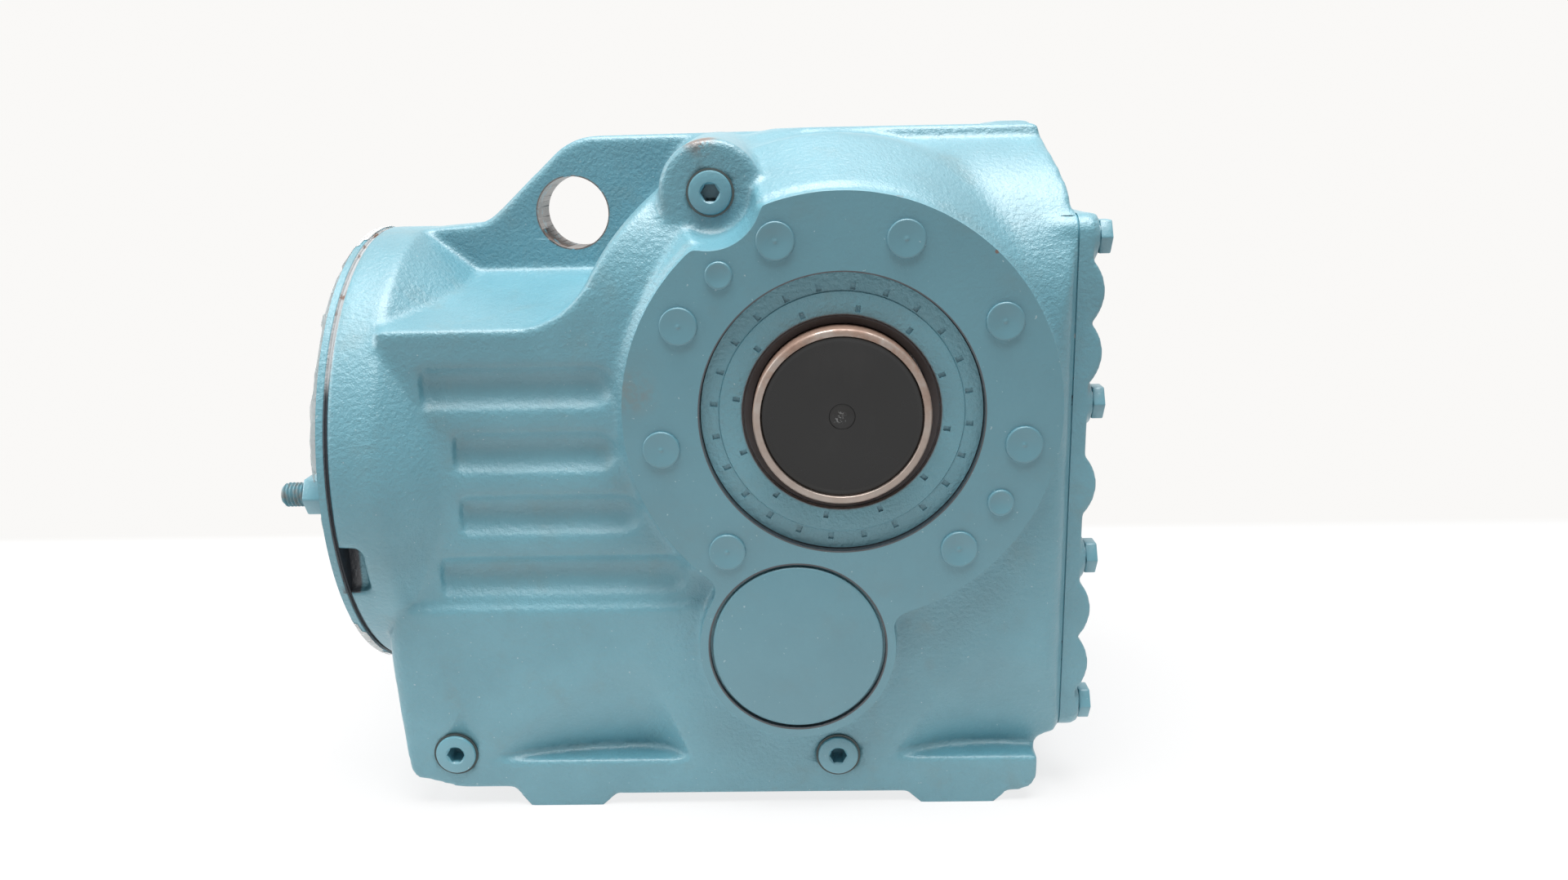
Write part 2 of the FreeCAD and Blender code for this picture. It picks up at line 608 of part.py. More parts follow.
def housing_room():
    """The hollow inside, with the bearing tube and its web left standing."""
    sump = prism("sump_room", "front", [
        ("-left_foot + 9", "floor_z"), ("room_right", "floor_z"), ("room_right",
                "mid_z + mid_boss_d / 2 - 4"),
        ("-near_bearing", "mid_z + mid_boss_d / 2 - 4"), ("-near_bearing", "-step_height"),
        ("-left_end + 13", "-step_height"),
        ("-left_end + 13", "slant_high - 6")], "sump_room_half", "-sump_room_half")
    upper = box("upper_room", ("-left_end + 18", "-60"), ("-wall_room_half", "wall_room_half"),
                ("-step_height - 1", "crease_height - 14"))
    passage = box("oil_passage", ("-far_bearing - 30", "-near_bearing"), ("-30", "30"), ("floor_z",
            "mid_z - tube_d / 2 - 6"))
    web_x = "(-near_bearing - far_bearing - mid_ring_width) / 2"
    standing = cut("standing", fused("tube_and_web", [
        cylinder("tube", "tube_d", "-far_bearing - mid_ring_width - 2", "-near_bearing + 2", "X", ("0", "0",
                "mid_z")),
        box("web", (f"{web_x} - web_thick / 2", f"{web_x} + web_thick / 2"), ("-sump_half", "sump_half"),
            ("floor_z - 1", "mid_z + tube_d / 2 + 6"))]), passage)
    drum_room = cylinder("drum_room", "drum_room_d", "-drum_room_half", "drum_room_half", "Y")
    neck_room = fused("neck_rooms", [
        cylinder("spigot_seat", "spigot_d + 2 * fit_gap", "-neck_end - 1", "-neck_end + 11", "X", ("0", "0",
                "in_z")),
        cylinder("neck_room", "spigot_d - 26", "-neck_end", "-left_end + 42", "X", ("0", "0", "in_z"))])
    window = prism("window", "side", cover_corners("window_inset"), "room_right - 20", "cover_x + 1")
    return fused("room", [cut("gear_room", fused("rooms", [sump, upper]), standing), drum_room, neck_room,
                          window])


def housing_bores():
    """Every machined hole: bearing seats, seal and cap seats, screw holes and plug holes."""
    mid = ("mid_x", "0", "mid_z")
    tube = ("0", "0", "mid_z")
    fit = "2 * fit_gap"
    bores = [
        cylinder("out_shoulder", "out_ring_d - 12", "-face_half - 1", "face_half + 1", "Y"),
        cylinder("out_seat", f"out_ring_d + {fit}", "-face_half - 1", "-out_ring_in", "Y"),
        cylinder("out_seat_far", f"out_ring_d + {fit}", "out_ring_in", "face_half + 1", "Y"),
        cylinder("seal_seat", f"seal_d + {fit}", "-face_half - 1", "-out_ring_out", "Y"),
        cylinder("seal_seat_far", f"seal_d + {fit}", "out_ring_out", "face_half + 1", "Y"),
        cylinder("mid_seat", f"mid_ring_d + {fit}", "-face_half - 1", "-sump_room_half + 1", "Y", mid),
        cylinder("mid_seat_far", f"mid_ring_d + {fit}", "sump_room_half - 1", "face_half + 1", "Y", mid),
        cylinder("cap_seat", f"mid_cap_d + {fit}", "-face_half - 1", "-face_half + mid_cap_thick", "Y",
                 mid),
        cylinder("cap_seat_far", f"mid_cap_d + {fit}", "face_half - mid_cap_thick", "face_half + 1", "Y",
                 mid),
        cylinder("tube_middle", "mid_ring_d - 12", "-far_bearing - 40", "-near_bearing + 20", "X", tube),
        cylinder("tube_near", f"mid_ring_d + {fit}", "-near_bearing - mid_ring_width", "-near_bearing + 20",
                 "X", tube),
        cylinder("tube_far", f"mid_ring_d + {fit}", "-far_bearing - mid_ring_width - 20", "-far_bearing",
                 "X", tube),
        cylinder("lug_hole", "lug_hole_d", "-lug_thick", "lug_thick", "Y", ("lug_hole_x", "0",
                "lug_hole_z")),
        box("rim_slot", ("-neck_end - 1", "-neck_end + 10.5"), ("-neck_d / 2 - 2", "-neck_d / 2 + 16"),
            ("in_z - 50", "in_z - 25")),
        cylinder("top_plug_hole", "plug_thread_d + 2 * fit_gap", "-top_boss_y - 1", "-drum_room_half + 6",
                 "Y", ("top_plug_x", "0", "top_plug_z")),
        cylinder("top_plug_face", "plug_head_d + 8", "-face_half - 1", "-top_boss_y", "Y", ("top_plug_x",
                "0", "top_plug_z")),
        cylinder("low_plug_hole", "plug_thread_d + 2 * fit_gap", "-sump_half - 1", "-sump_room_half + 2",
                 "Y", ("low_plug_x", "0", "low_plug_z")),
        cylinder("floor_plug_hole", "plug_thread_d + 2 * fit_gap", "-sump_half - 1", "-sump_room_half + 2",
                 "Y",
                 ("floor_plug_x", "0", "floor_plug_z")),
        box("foot_channel", ("-left_end", "right_end + 20"), ("-foot_half_gap", "foot_half_gap"),
            ("-centre_height - 1", "base_z + 2")),
    ]
    for sign in (-1, 1):
        for side in (-1, 1):
            bores.append(cylinder("foot_hole", "foot_hole_d", "-centre_height - 1",
                                  "-centre_height + foot_hole_depth", "Z",
                                  (f"foot_middle + {sign} * foot_spacing / 2", f"{side} * foot_hole_half",
                                   "0")))
        for height in COVER_ROWS:
            bores.append(cylinder("cover_hole", "cover_bolt_d - 1.5", "cover_x - 16", "cover_x + 1", "X",
                                  ("0", f"{sign} * (cover_half - cover_bolt_inset)", height)))
        bores.append(cylinder("stud_hole", "stud_d + 2 * fit_gap", "-neck_end - 1", "-neck_end + 22", "X",
                              ("0", f"{sign} * stud_circle_d / 2", "in_z")))
        for angle in BOLT_ANGLES:
            bores.append(face_hole("bolt_hole", "bolt_hole_d", angle, sign))
        for angle in DOWEL_ANGLES:
            bores.append(face_hole("dowel_hole", "dowel_hole_d", angle, sign))
        left, right = "foot_middle - foot_spacing / 2", "foot_middle + foot_spacing / 2"
        bores.append(foot_pocket(sign, (f"{left} - 40", f"{left} + 66", f"{left} + 32", f"{left} + 50"),
                                 "pocket_height"))
        bores.append(foot_pocket(sign, (f"{right} + 70", f"{right} - 36", f"{right}", f"{right} - 20"),
                                 "pocket_low_height"))
    return fused("bores", bores)


BOLT_ANGLES = [30, 70, 110, 150, 190, 230, 310, 350]
DOWEL_ANGLES = [130, 330]
COVER_RIBS = ["0"] + [f"{way} * (cover_bolt_pitch + {side} * cover_rib_spread)" for way in (-1,
        1) for side in (-1, 1)]
COVER_ROWS = [f"cover_mid_z + {step} * cover_bolt_pitch" for step in (-1.5, -0.5, 0.5, 1.5)]


def circle_spot(angle):
    """A place on the output face's bolt circle, as sheet expressions for x and z."""
    return f"bolt_circle_d / 2 * cos({angle} deg)", f"bolt_circle_d / 2 * sin({angle} deg)"


def face_hole(label, diameter, angle, side):
    x, z = circle_spot(angle)
    span = ("face_half - bolt_hole_depth", "face_half + 1")
    if side < 0:
        span = ("-face_half - 1", "-face_half + bolt_hole_depth")
    return cylinder(label, diameter, span[0], span[1], "Y", (x, "0", z))


def foot_pocket(side, spots_x, height):
    """The hollow above a foot: three faces that run down to its deepest corner, on one side of the housing."""
    low = number("-centre_height + foot_thick")
    out = side * number("sump_half")
    high = low + number(height)
    shallow, near, peak, deep = spots_x
    lip = side * 2.0
    spots = [Vector(number(shallow), out, low), Vector(number(near), out, low), Vector(number(peak), out,
            high)]
    centre = Vector(number(deep), side * number("sump_half - pocket_depth"), low)
    outer = [spot + (spot - centre) * (lip / (out - centre.y)) for spot in spots]
    return shaped("foot_pocket", Part.makeLoft([Part.makePolygon(outer + outer[:1]), Part.Vertex(centre)],
                                               True, True))


def housing():
    return node(cut("housing", cut("cast_housing", housing_outside(), housing_room()), housing_bores()))



# Repeated and bought-in pieces


def copies(label, one, places):
    """One piece repeated at several places, kept together as a single named piece."""
    doc.recompute()
    shapes = []
    for place in places:
        shape = one.Shape.copy()
        shape.Placement = place.multiply(one.Placement)
        shapes.append(shape)
    return shaped(label, Part.makeCompound(shapes))


def shift(x="0", y="0", z="0"):
    return FreeCAD.Placement(Vector(number(x), number(y), number(z)), FreeCAD.Rotation())


def hexagon(label, across, begin, end):
    """A six-sided bar along X with the given width across its flats."""
    bar = doc.addObject("Part::Prism", label)
    bar.Polygon = 6
    bar.setExpression("Circumradius", named(f"({across}) / 2 / cos(30 deg)"))
    bar.setExpression("Height", named(f"({end}) - ({begin})"))
    bar.Placement = FreeCAD.Placement(Vector(), FreeCAD.Rotation(Vector(0, 1, 0), 90))
    bar.setExpression(".Placement.Base.x", named(begin))
    return bar


def ball_bearing(prefix, size, begin, axis, at=("0", "0", "0")):
    """Outer ring, inner ring and ball set of a deep-groove bearing that starts at begin along its axis."""
    bore, outside, width, ball = (f"{size}_{word}" for word in ("bore_d / 2", "ring_d / 2", "ring_width",
            "ball_d"))
    pitch = f"({bore} + {outside}) / 2"
    groove = f"({ball} / 2 + run_gap / 2)"
    reach = f"0.35 * {ball}"
    chord = f"sqrt({groove} ^ 2 - ({reach}) ^ 2)"
    left, right, middle = f"{begin}", f"{begin} + {width}", f"{begin} + {width} / 2"
    outer = turned(prefix + "_outer", [
        (left, f"{pitch} + {reach}"), (f"{middle} - {chord}", f"{pitch} + {reach}", f"-{groove}"),
        (f"{middle} + {chord}", f"{pitch} + {reach}"), (right, f"{pitch} + {reach}"), (right, outside),
        (left, outside)], axis, at)
    inner = turned(prefix + "_inner", [
        (left, bore), (right, bore), (right, f"{pitch} - {reach}"), (f"{middle} + {chord}",
                f"{pitch} - {reach}", f"-{groove}"),
        (f"{middle} - {chord}", f"{pitch} - {reach}"), (left, f"{pitch} - {reach}")], axis, at)
    return outer, inner, ball_set(prefix + "_balls", pitch, ball, middle, axis, at)


def ball_set(label, pitch, ball, middle, axis, at):
    """A ring of balls joined by the cage that spaces them."""
    pitch_r, ball_r, place = number(pitch), number(ball) / 2, number(middle)
    count = int(2 * math.pi * pitch_r / (ball_r * 3.3))
    cage = Part.makeCylinder(pitch_r + ball_r * 0.3, ball_r * 1.2, Vector(place - ball_r * 0.6, 0, 0),
                             Vector(1, 0, 0))
    cage = cage.cut(Part.makeCylinder(pitch_r - ball_r * 0.3, ball_r * 3, Vector(place - ball_r * 1.5, 0,
            0), Vector(1, 0, 0)))
    balls = [Part.makeSphere(ball_r, polar(pitch_r, math.radians(angle), place)) for angle in around(count)]
    return put(shaped(label, cage.multiFuse(balls)), axis, at)


def roller_bearing(prefix, axis, at):
    """Cup, cone and roller set of a tapered bearing, from its small end at 0 to its large end along the axis."""
    width, bore, outside, roller = "mid_ring_width", "mid_bore_d / 2", "mid_ring_d / 2", "mid_roller_d"
    tilt, taper = "12 deg", "1.83 deg"
    pitch = f"(({bore}) + ({outside})) / 2"

    def track(place, sign, gap):
        return f"(({pitch}) / tan({tilt}) + ({place}) - {width} / 2) * tan({tilt} {sign} {taper}) {gap}"
    cup = turned(prefix + "_cup", [
        ("1.5", track("1.5", "+", "+ run_gap / 2")), (f"{width} - 3", track(f"{width} - 3", "+",
                "+ run_gap / 2")),
        (f"{width} - 3", outside), ("1.5", outside)], axis, at)
    cone = turned(prefix + "_cone", [
        ("2", bore), (width, bore), (width, track(width, "-", "+ 2")), (f"{width} - 2.5",
                track(f"{width} - 2.5", "-", "+ 2")),
        (f"{width} - 2.5", track(f"{width} - 2.5", "-", "- run_gap / 2")), ("2", track("2", "-",
                "- run_gap / 2"))], axis, at)
    return cup, cone, roller_set(prefix + "_rollers", number(pitch), number(roller) / 2, number(width),
                                 axis, at)


def roller_set(label, pitch_r, roller_r, width, axis, at):
    """A ring of tapered rollers joined by their cage."""
    tilt, taper = math.radians(12), math.radians(1.83)
    apex = width / 2 - pitch_r / math.tan(tilt)
    far = pitch_r / math.sin(tilt)
    length = width - 7
    count = int(2 * math.pi * pitch_r / (roller_r * 2.6))
    begin, end = far - length / 2, far + length / 2
    one = Part.makeCone(begin * math.tan(taper), end * math.tan(taper), length, Vector(begin, 0, 0),
                        Vector(1, 0, 0))
    one.rotate(Vector(), Vector(0, 0, 1), math.degrees(tilt))
    one.translate(Vector(apex, 0, 0))
    cage_r = pitch_r + 0.2
    slope = math.tan(tilt) * length * 0.7 / 2
    cage = Part.makeCone(cage_r + 1.2 - slope, cage_r + 1.2 + slope, length * 0.7,
                         Vector(width / 2 - length * 0.35, 0, 0), Vector(1, 0, 0))
    cage = cage.cut(Part.makeCone(cage_r - 1.2 - slope, cage_r - 1.2 + slope, length * 0.7,
                                  Vector(width / 2 - length * 0.35, 0, 0), Vector(1, 0, 0)))
    rollers = []
    for angle in around(count):
        roller = one.copy()
        roller.rotate(Vector(), Vector(1, 0, 0), angle)
        rollers.append(roller)
    return put(shaped(label, cage.multiFuse(rollers)), axis, at)


# Output shaft


def output_shaft():
    solid = turned("shaft_blank", [
        ("-shaft_half", "cap_seat_d / 2"), ("-shaft_half + cap_seat_depth", "cap_seat_d / 2"),
        ("-shaft_half + cap_seat_depth", "bore_d / 2"), ("shaft_half", "bore_d / 2"), ("shaft_half",
                "hub_d / 2 - 1"),
        ("shaft_half - 1", "hub_d / 2"), ("out_ring_in", "hub_d / 2"), ("out_ring_in", "gear_seat_d / 2"),
        ("-gear_in + 10", "gear_seat_d / 2"), ("-gear_in + 10", "gear_seat_d / 2 + 6"), ("-gear_in",
                "gear_seat_d / 2 + 6"),
        ("-gear_in", "gear_seat_d / 2"), ("-out_ring_in", "gear_seat_d / 2"), ("-out_ring_in", "hub_d / 2"),
        ("-shaft_half + 1", "hub_d / 2"), ("-shaft_half", "hub_d / 2 - 1")], "Y")
    keyway = box("bore_keyway", ("-key_width / 2", "key_width / 2"), ("-shaft_half + cap_seat_depth",
            "shaft_half + 1"),
                 ("0", "bore_d / 2 + key_depth"))
    seat = box("gear_keyway", ("-gear_key_width / 2", "gear_key_width / 2"), ("-gear_out + 4",
            "-gear_in - 4"),
               ("gear_seat_d / 2 - gear_key_depth", "gear_seat_d / 2 + 20"))
    node(cut("output_shaft", solid, fused("shaft_keyways", [keyway, seat])))
    node(box("output_gear_key", ("-gear_key_width / 2", "gear_key_width / 2"), ("-gear_out + 4",
            "-gear_in - 4"),
             ("gear_seat_d / 2 - gear_key_depth", "gear_seat_d / 2 + 5")))
    node(ring("output_spacer", "gear_seat_d + 2 * fit_gap", "gear_seat_d + 12", "-out_ring_in", "-gear_out",
              "Y"))
    node(turned("shaft_cap", [
        ("-shaft_half + cap_recess", "0"), ("-shaft_half + cap_recess", "cap_seat_d / 2 - 3"),
        ("-shaft_half + cap_recess - 1.2", "cap_seat_d / 2 - 2"),
        ("-shaft_half + cap_recess - 1.2", "cap_seat_d / 2 - fit_gap"), ("-shaft_half + cap_seat_depth",
                "cap_seat_d / 2 - fit_gap"),
        ("-shaft_half + cap_seat_depth", "cap_seat_d / 2 - 3"), ("-shaft_half + cap_recess + 3",
                "cap_seat_d / 2 - 4"),
        ("-shaft_half + cap_recess + 3", "0")], "Y"))


def tooth_data(stage):
    """Helix angle, pressure angle and flank thinning of a helical stage."""
    return math.radians(number("helix_"
                               + stage)), math.radians(number("press_angle")), number("flank_gap") / 2


def helical_gear(label, teeth, stage, phase, begin, width, hand, axis, at):
    helix, press, thin = tooth_data(stage)
    solid = helical_teeth(int(round(number(teeth))), number("module_" + stage), helix, press, thin, phase,
                          number(begin), number(width), hand)
    return put(shaped(label, solid), axis, at)


def output_gear():
    """The large wheel of the last stage, keyed on the hollow shaft."""
    toward = math.atan2(number("mid_z"), -number("mid_x"))
    teeth = helical_gear("output_teeth", "wheel_last", "last", toward, "-gear_out", "width_last", 1, "Y",
                         ("0", "0", "0"))
    bore = cylinder("output_gear_bore", "gear_seat_d + 2 * fit_gap", "-gear_out - 1", "-gear_in + 1", "Y")
    slot = box("output_gear_slot", ("-gear_key_width / 2 - fit_gap", "gear_key_width / 2 + fit_gap"),
               ("-gear_out - 1", "-gear_in + 1"),
               ("0", "gear_seat_d / 2 + 5.3"))
    wheel_r = "module_last * wheel_last / 2 / cos(helix_last * 1 deg)"
    sides = []
    for begin, end in (("-gear_out - 1", "-gear_out + 12"), ("-gear_in - 12", "-gear_in + 1")):
        sides.append(ring("gear_recess", "gear_seat_d + 34", f"2 * ({wheel_r}) - 24", begin, end, "Y"))
    node(cut("output_gear", teeth, fused("output_gear_cuts", [bore, slot] + sides)))


def output_seats():
    """Seals, retaining rings and bearings of the hollow shaft, the same at both ends."""
    lip = "hub_d / 2 + run_gap"
    case = turned("seal_case", [
        ("-face_half + seal_recess", "seal_d / 2 - 19.5"), ("-seal_in - 5", "seal_d / 2 - 19.5"),
        ("-seal_in - 5", "seal_d / 2 - 15"),
        ("-face_half + seal_recess + 3", "seal_d / 2 - 15"), ("-face_half + seal_recess + 3",
                "seal_d / 2 - 4"),
        ("-seal_in", "seal_d / 2 - 4"), ("-seal_in", "seal_d / 2"), ("-face_half + seal_recess + 1",
                "seal_d / 2"),
        ("-face_half + seal_recess", "seal_d / 2 - 1")], "Y")
    node(both_sides("output_seal_cases", case))
    rubber = turned("seal_lip", [
        ("-seal_in - 5", "seal_d / 2 - 21"), ("-seal_in - 5", "seal_d / 2 - 15"), ("-seal_in - 1",
                "seal_d / 2 - 15"), ("-seal_in - 1", lip),
        ("-seal_in - 2.5", lip)], "Y")
    node(both_sides("output_seal_lips", rubber))
    node(both_sides("output_retaining_rings", ring("retaining_ring", "out_ring_d - 10", "seal_d",
                                                   "-seal_in", "-out_ring_out", "Y")))
    outer, inner, balls = ball_bearing("output_bearing", "out", "-out_ring_out", "Y")
    node(both_sides("output_bearing_outer_rings", outer))
    node(both_sides("output_bearing_inner_rings", inner))
    node(both_sides("output_bearing_ball_sets", balls))


def face_caps():
    """Plastic caps in the screw and dowel holes of the front face."""
    for label, cap_d, hole_d, angles in (("hole_caps", "hole_cap_d", "bolt_hole_d", BOLT_ANGLES),
                                         ("dowel_caps", "dowel_cap_d", "dowel_hole_d", DOWEL_ANGLES)):
        one = turned(label + "_one", [
            ("-face_half - hole_cap_rise", "0"), ("-face_half - hole_cap_rise", f"{cap_d} / 2 - 2"),
            ("-face_half - 0.6", f"{cap_d} / 2"),
            ("-face_half", f"{cap_d} / 2"), ("-face_half", f"{hole_d} / 2 - fit_gap"), ("-face_half + 7",
                    f"{hole_d} / 2 - fit_gap"),
            ("-face_half + 8", f"{hole_d} / 2 - 1"), ("-face_half + 8", "0")], "Y")
        node(copies(label, one, [shift(x, "0", z) for x, z in map(circle_spot, angles)]))


# Intermediate shaft


def intermediate_seats():
    at = ("mid_x", "0", "mid_z")
    cap = turned("closing_cap", [
        ("-face_half", "0"), ("-face_half", "mid_cap_d / 2 - mid_cap_gap - 0.8"), ("-face_half + 0.8",
                "mid_cap_d / 2 - mid_cap_gap"),
        ("-face_half + 3", "mid_cap_d / 2 - mid_cap_gap"), ("-face_half + 3", "mid_cap_d / 2"),
        ("-face_half + mid_cap_thick", "mid_cap_d / 2"), ("-face_half + mid_cap_thick",
                "mid_ring_d / 2 - 6"),
        ("-face_half + 4", "mid_ring_d / 2 - 7"), ("-face_half + 4", "0")], "Y", at)
    node(both_sides("closing_caps", cap))
    node(both_sides("intermediate_shims", ring("shim", "mid_ring_d - 15", "mid_ring_d",
                                               "-face_half + mid_cap_thick", "-mid_ring_out + 1.5", "Y",
                                               at)))
    cup, cone, rollers = roller_bearing("intermediate_bearing", "Y", ("mid_x", "-mid_ring_out", "mid_z"))
    node(both_sides("intermediate_bearing_cups", cup))
    node(both_sides("intermediate_bearing_cones", cone))
    node(both_sides("intermediate_bearing_roller_sets", rollers))


def intermediate_shaft():
    """The pinion shaft of the last stage, which also carries the bevel wheel."""
    at = ("mid_x", "0", "mid_z")
    root = "module_last * (pinion_last / 2 / cos(helix_last * 1 deg) - 1.25)"
    blank = turned("intermediate_blank", [
        ("-mid_ring_out - 1", "0"), ("mid_ring_out + 1", "0"), ("mid_ring_out + 1", "mid_bore_d / 2"),
        ("mid_ring_in", "mid_bore_d / 2"),
        ("mid_ring_in", "mid_wheel_seat_d / 2"), ("wheel_toe", "mid_wheel_seat_d / 2"), ("wheel_toe",
                "mid_wheel_seat_d / 2 + 4"),
        ("2", "mid_wheel_seat_d / 2 + 4"), ("-gear_in + 3", f"{root} + 0.01"), ("-gear_out - 3",
                f"{root} + 0.01"),
        ("-gear_out - 5", "mid_bore_d / 2 + 5"), ("-mid_ring_in", "mid_bore_d / 2 + 5"), ("-mid_ring_in",
                "mid_bore_d / 2"),
        ("-mid_ring_out - 1", "mid_bore_d / 2")], "Y", at)
    count = int(round(number("pinion_last")))
    toward = math.atan2(number("mid_z"), -number("mid_x"))
    teeth = helical_gear("intermediate_teeth", "pinion_last", "last", toward + math.pi + math.pi / count,
                         "-gear_out - 1", "width_last + 2",
                         -1, "Y", at)
    seat = box("wheel_keyway", ("mid_x - mid_key_width / 2", "mid_x + mid_key_width / 2"), ("wheel_toe + 4",
            "wheel_back - 3"),
               ("mid_z + mid_wheel_seat_d / 2 - mid_key_depth", "mid_z + mid_wheel_seat_d"))
    node(cut("intermediate_shaft", fused("intermediate_whole", [blank, teeth]), seat))
    node(box("bevel_wheel_key", ("mid_x - mid_key_width / 2", "mid_x + mid_key_width / 2"),
             ("wheel_toe + 4", "wheel_back - 3"),
             ("mid_z + mid_wheel_seat_d / 2 - mid_key_depth", "mid_z + mid_wheel_seat_d / 2 + 4")))
    node(ring("intermediate_spacer", "mid_wheel_seat_d + 2 * fit_gap", "mid_wheel_seat_d + 14",
              "wheel_back", "mid_ring_in", "Y", at))


def bevel_data(teeth, mate, shift_by, hand):
    """The blank's root line and one tooth of a bevel gear."""
    own, other = int(round(number(teeth))), int(round(number(mate)))
    tooth = bevel_tooth(own, other, number("module_bevel"), math.radians(number("press_angle")),
                        math.radians(number("spiral_bevel")),
                        number("width_bevel"), number(shift_by), number("flank_gap") / 2, hand)
    return own, tooth


def root_line(teeth, mate, shift_by):
    """Root of a bevel gear's teeth just past their toe and heel, as expressions along and across its axis."""
    cone = f"atan2({teeth}; {mate})"
    depth = f"(1.25 - ({shift_by})) * module_bevel"
    heel = (f"(module_bevel * {mate} / 2 + {depth} * sin({cone}))",
            f"(module_bevel * {teeth} / 2 - {depth} * cos({cone}))")
    inner, outer = "blank_inner / bevel_outer", "blank_outer / bevel_outer"
    return tuple(f"{part} * {inner}" for part in heel), tuple(f"{part} * {outer}" for part in heel)


def bevel_wheel():
    at = ("mid_x", "0", "mid_z")
    toe, heel = root_line("wheel_bevel", "pinion_bevel", "-addendum_shift")
    blank = turned("bevel_wheel_blank", [
        (toe[0], "mid_wheel_seat_d / 2 + fit_gap"), ("wheel_back", "mid_wheel_seat_d / 2 + fit_gap"),
        ("wheel_back", "mid_wheel_seat_d / 2 + 14"),
        (f"{heel[0]} + 12", "mid_wheel_seat_d / 2 + 18"), (f"{heel[0]} + 7", f"{heel[1]} - 4"), heel, toe])
    doc.recompute()
    count, tooth = bevel_data("wheel_bevel", "pinion_bevel", "-addendum_shift", 1)
    whole = put(shaped("bevel_wheel_whole", bevel_teeth(blank.Shape, count, tooth, 0.0)), "Y", at)
    slot = box("bevel_wheel_slot", ("mid_x - mid_key_width / 2 - fit_gap",
                                    "mid_x + mid_key_width / 2 + fit_gap"),
               ("0", "wheel_back + 1"), ("mid_z", "mid_z + mid_wheel_seat_d / 2 + 4.3"))
    node(cut("bevel_wheel", whole, slot))


# Bevel pinion shaft


def bevel_pinion_shaft():
    """The shaft with the bevel pinion cut on its right end, drawn from the cone's point outwards."""
    at = ("mid_x", "0", "mid_z")
    toe, heel = root_line("pinion_bevel", "wheel_bevel", "addendum_shift")
    near, far = "(near_bearing + mid_x)", "(far_bearing + mid_x)"
    wheel_right, wheel_left = "(first_wheel_right + mid_x)", "(first_wheel_left + mid_x)"
    blank = turned("bevel_pinion_blank", [
        (toe[0], "0"), (f"{wheel_left} + nut_width", "0"), (f"{wheel_left} + nut_width",
                "first_seat_d / 2 - 1"), (wheel_left, "first_seat_d / 2 - 1"),
        (wheel_left, "first_seat_d / 2"), (f"{wheel_right} - 1", "first_seat_d / 2"), (f"{wheel_right} - 1",
                "mid_bore_d / 2"),
        (f"{far}", "mid_bore_d / 2"), (f"{far} - 1", "mid_bore_d / 2 - 1"), (f"{near} + mid_ring_width + 1",
                "mid_bore_d / 2 - 1"),
        (f"{near} + mid_ring_width", "mid_bore_d / 2"), (near, "mid_bore_d / 2"), (near,
                "head_collar_d / 2"),
        (f"{heel[0]} + 4", "head_collar_d / 2"), heel, toe])
    doc.recompute()
    count, tooth = bevel_data("pinion_bevel", "wheel_bevel", "addendum_shift", -1)
    whole = shaped("bevel_pinion_whole", bevel_teeth(blank.Shape, count, tooth, 180.0 + 180.0 / count))
    whole = put(whole, "-X", at)
    key = (("-first_wheel_left + 3", "-first_wheel_right - 3"), ("-first_key_width / 2",
            "first_key_width / 2"))
    seat = box("first_keyway", key[0], key[1], ("mid_z + first_seat_d / 2 - first_key_depth",
                                                "mid_z + first_seat_d"))
    node(cut("bevel_pinion_shaft", whole, seat))
    node(box("first_wheel_key", key[0], key[1], ("mid_z + first_seat_d / 2 - first_key_depth",
                                                 "mid_z + first_seat_d / 2 + 3")))


def pinion_seats():
    near = roller_bearing("pinion_bearing_near", "X", ("-near_bearing - mid_ring_width", "0", "mid_z"))
    far = roller_bearing("pinion_bearing_far", "-X", ("-far_bearing", "0", "mid_z"))
    for name, first, second in zip(("cups", "cones", "roller_sets"), near, far):
        node(group("pinion_bearing_" + name, [first, second]))
    at = ("0", "0", "mid_z")
    node(ring("first_wheel_spacer", "mid_bore_d + 2 * fit_gap", "mid_bore_d + 12", "-first_wheel_right",
              "-far_bearing - mid_ring_width", "X", at))
    nut = turned("nut_blank", [
        ("-first_wheel_left - nut_width + 1", "first_seat_d / 2 - 1 + fit_gap"), ("-first_wheel_left",
                "first_seat_d / 2 - 1 + fit_gap"),
        ("-first_wheel_left", "first_seat_d / 2 + 7"), ("-first_wheel_left - nut_width + 2",
                                                        "first_seat_d / 2 + 7"),
        ("-first_wheel_left - nut_width + 1", "first_seat_d / 2 + 6")], "X", at)
    notch = box("nut_notch", ("-first_wheel_left - nut_width", "-first_wheel_left + 1"), ("-2.5", "2.5"),
                ("first_seat_d / 2 + 4.5", "first_seat_d"))
    notches = copies("nut_notches", notch, [FreeCAD.Placement(Vector(0, 0, number("mid_z")),
            FreeCAD.Rotation(Vector(1, 0, 0), a))
                                            for a in around(4, 45.0)])
    node(cut("pinion_lock_nut", nut, notches))


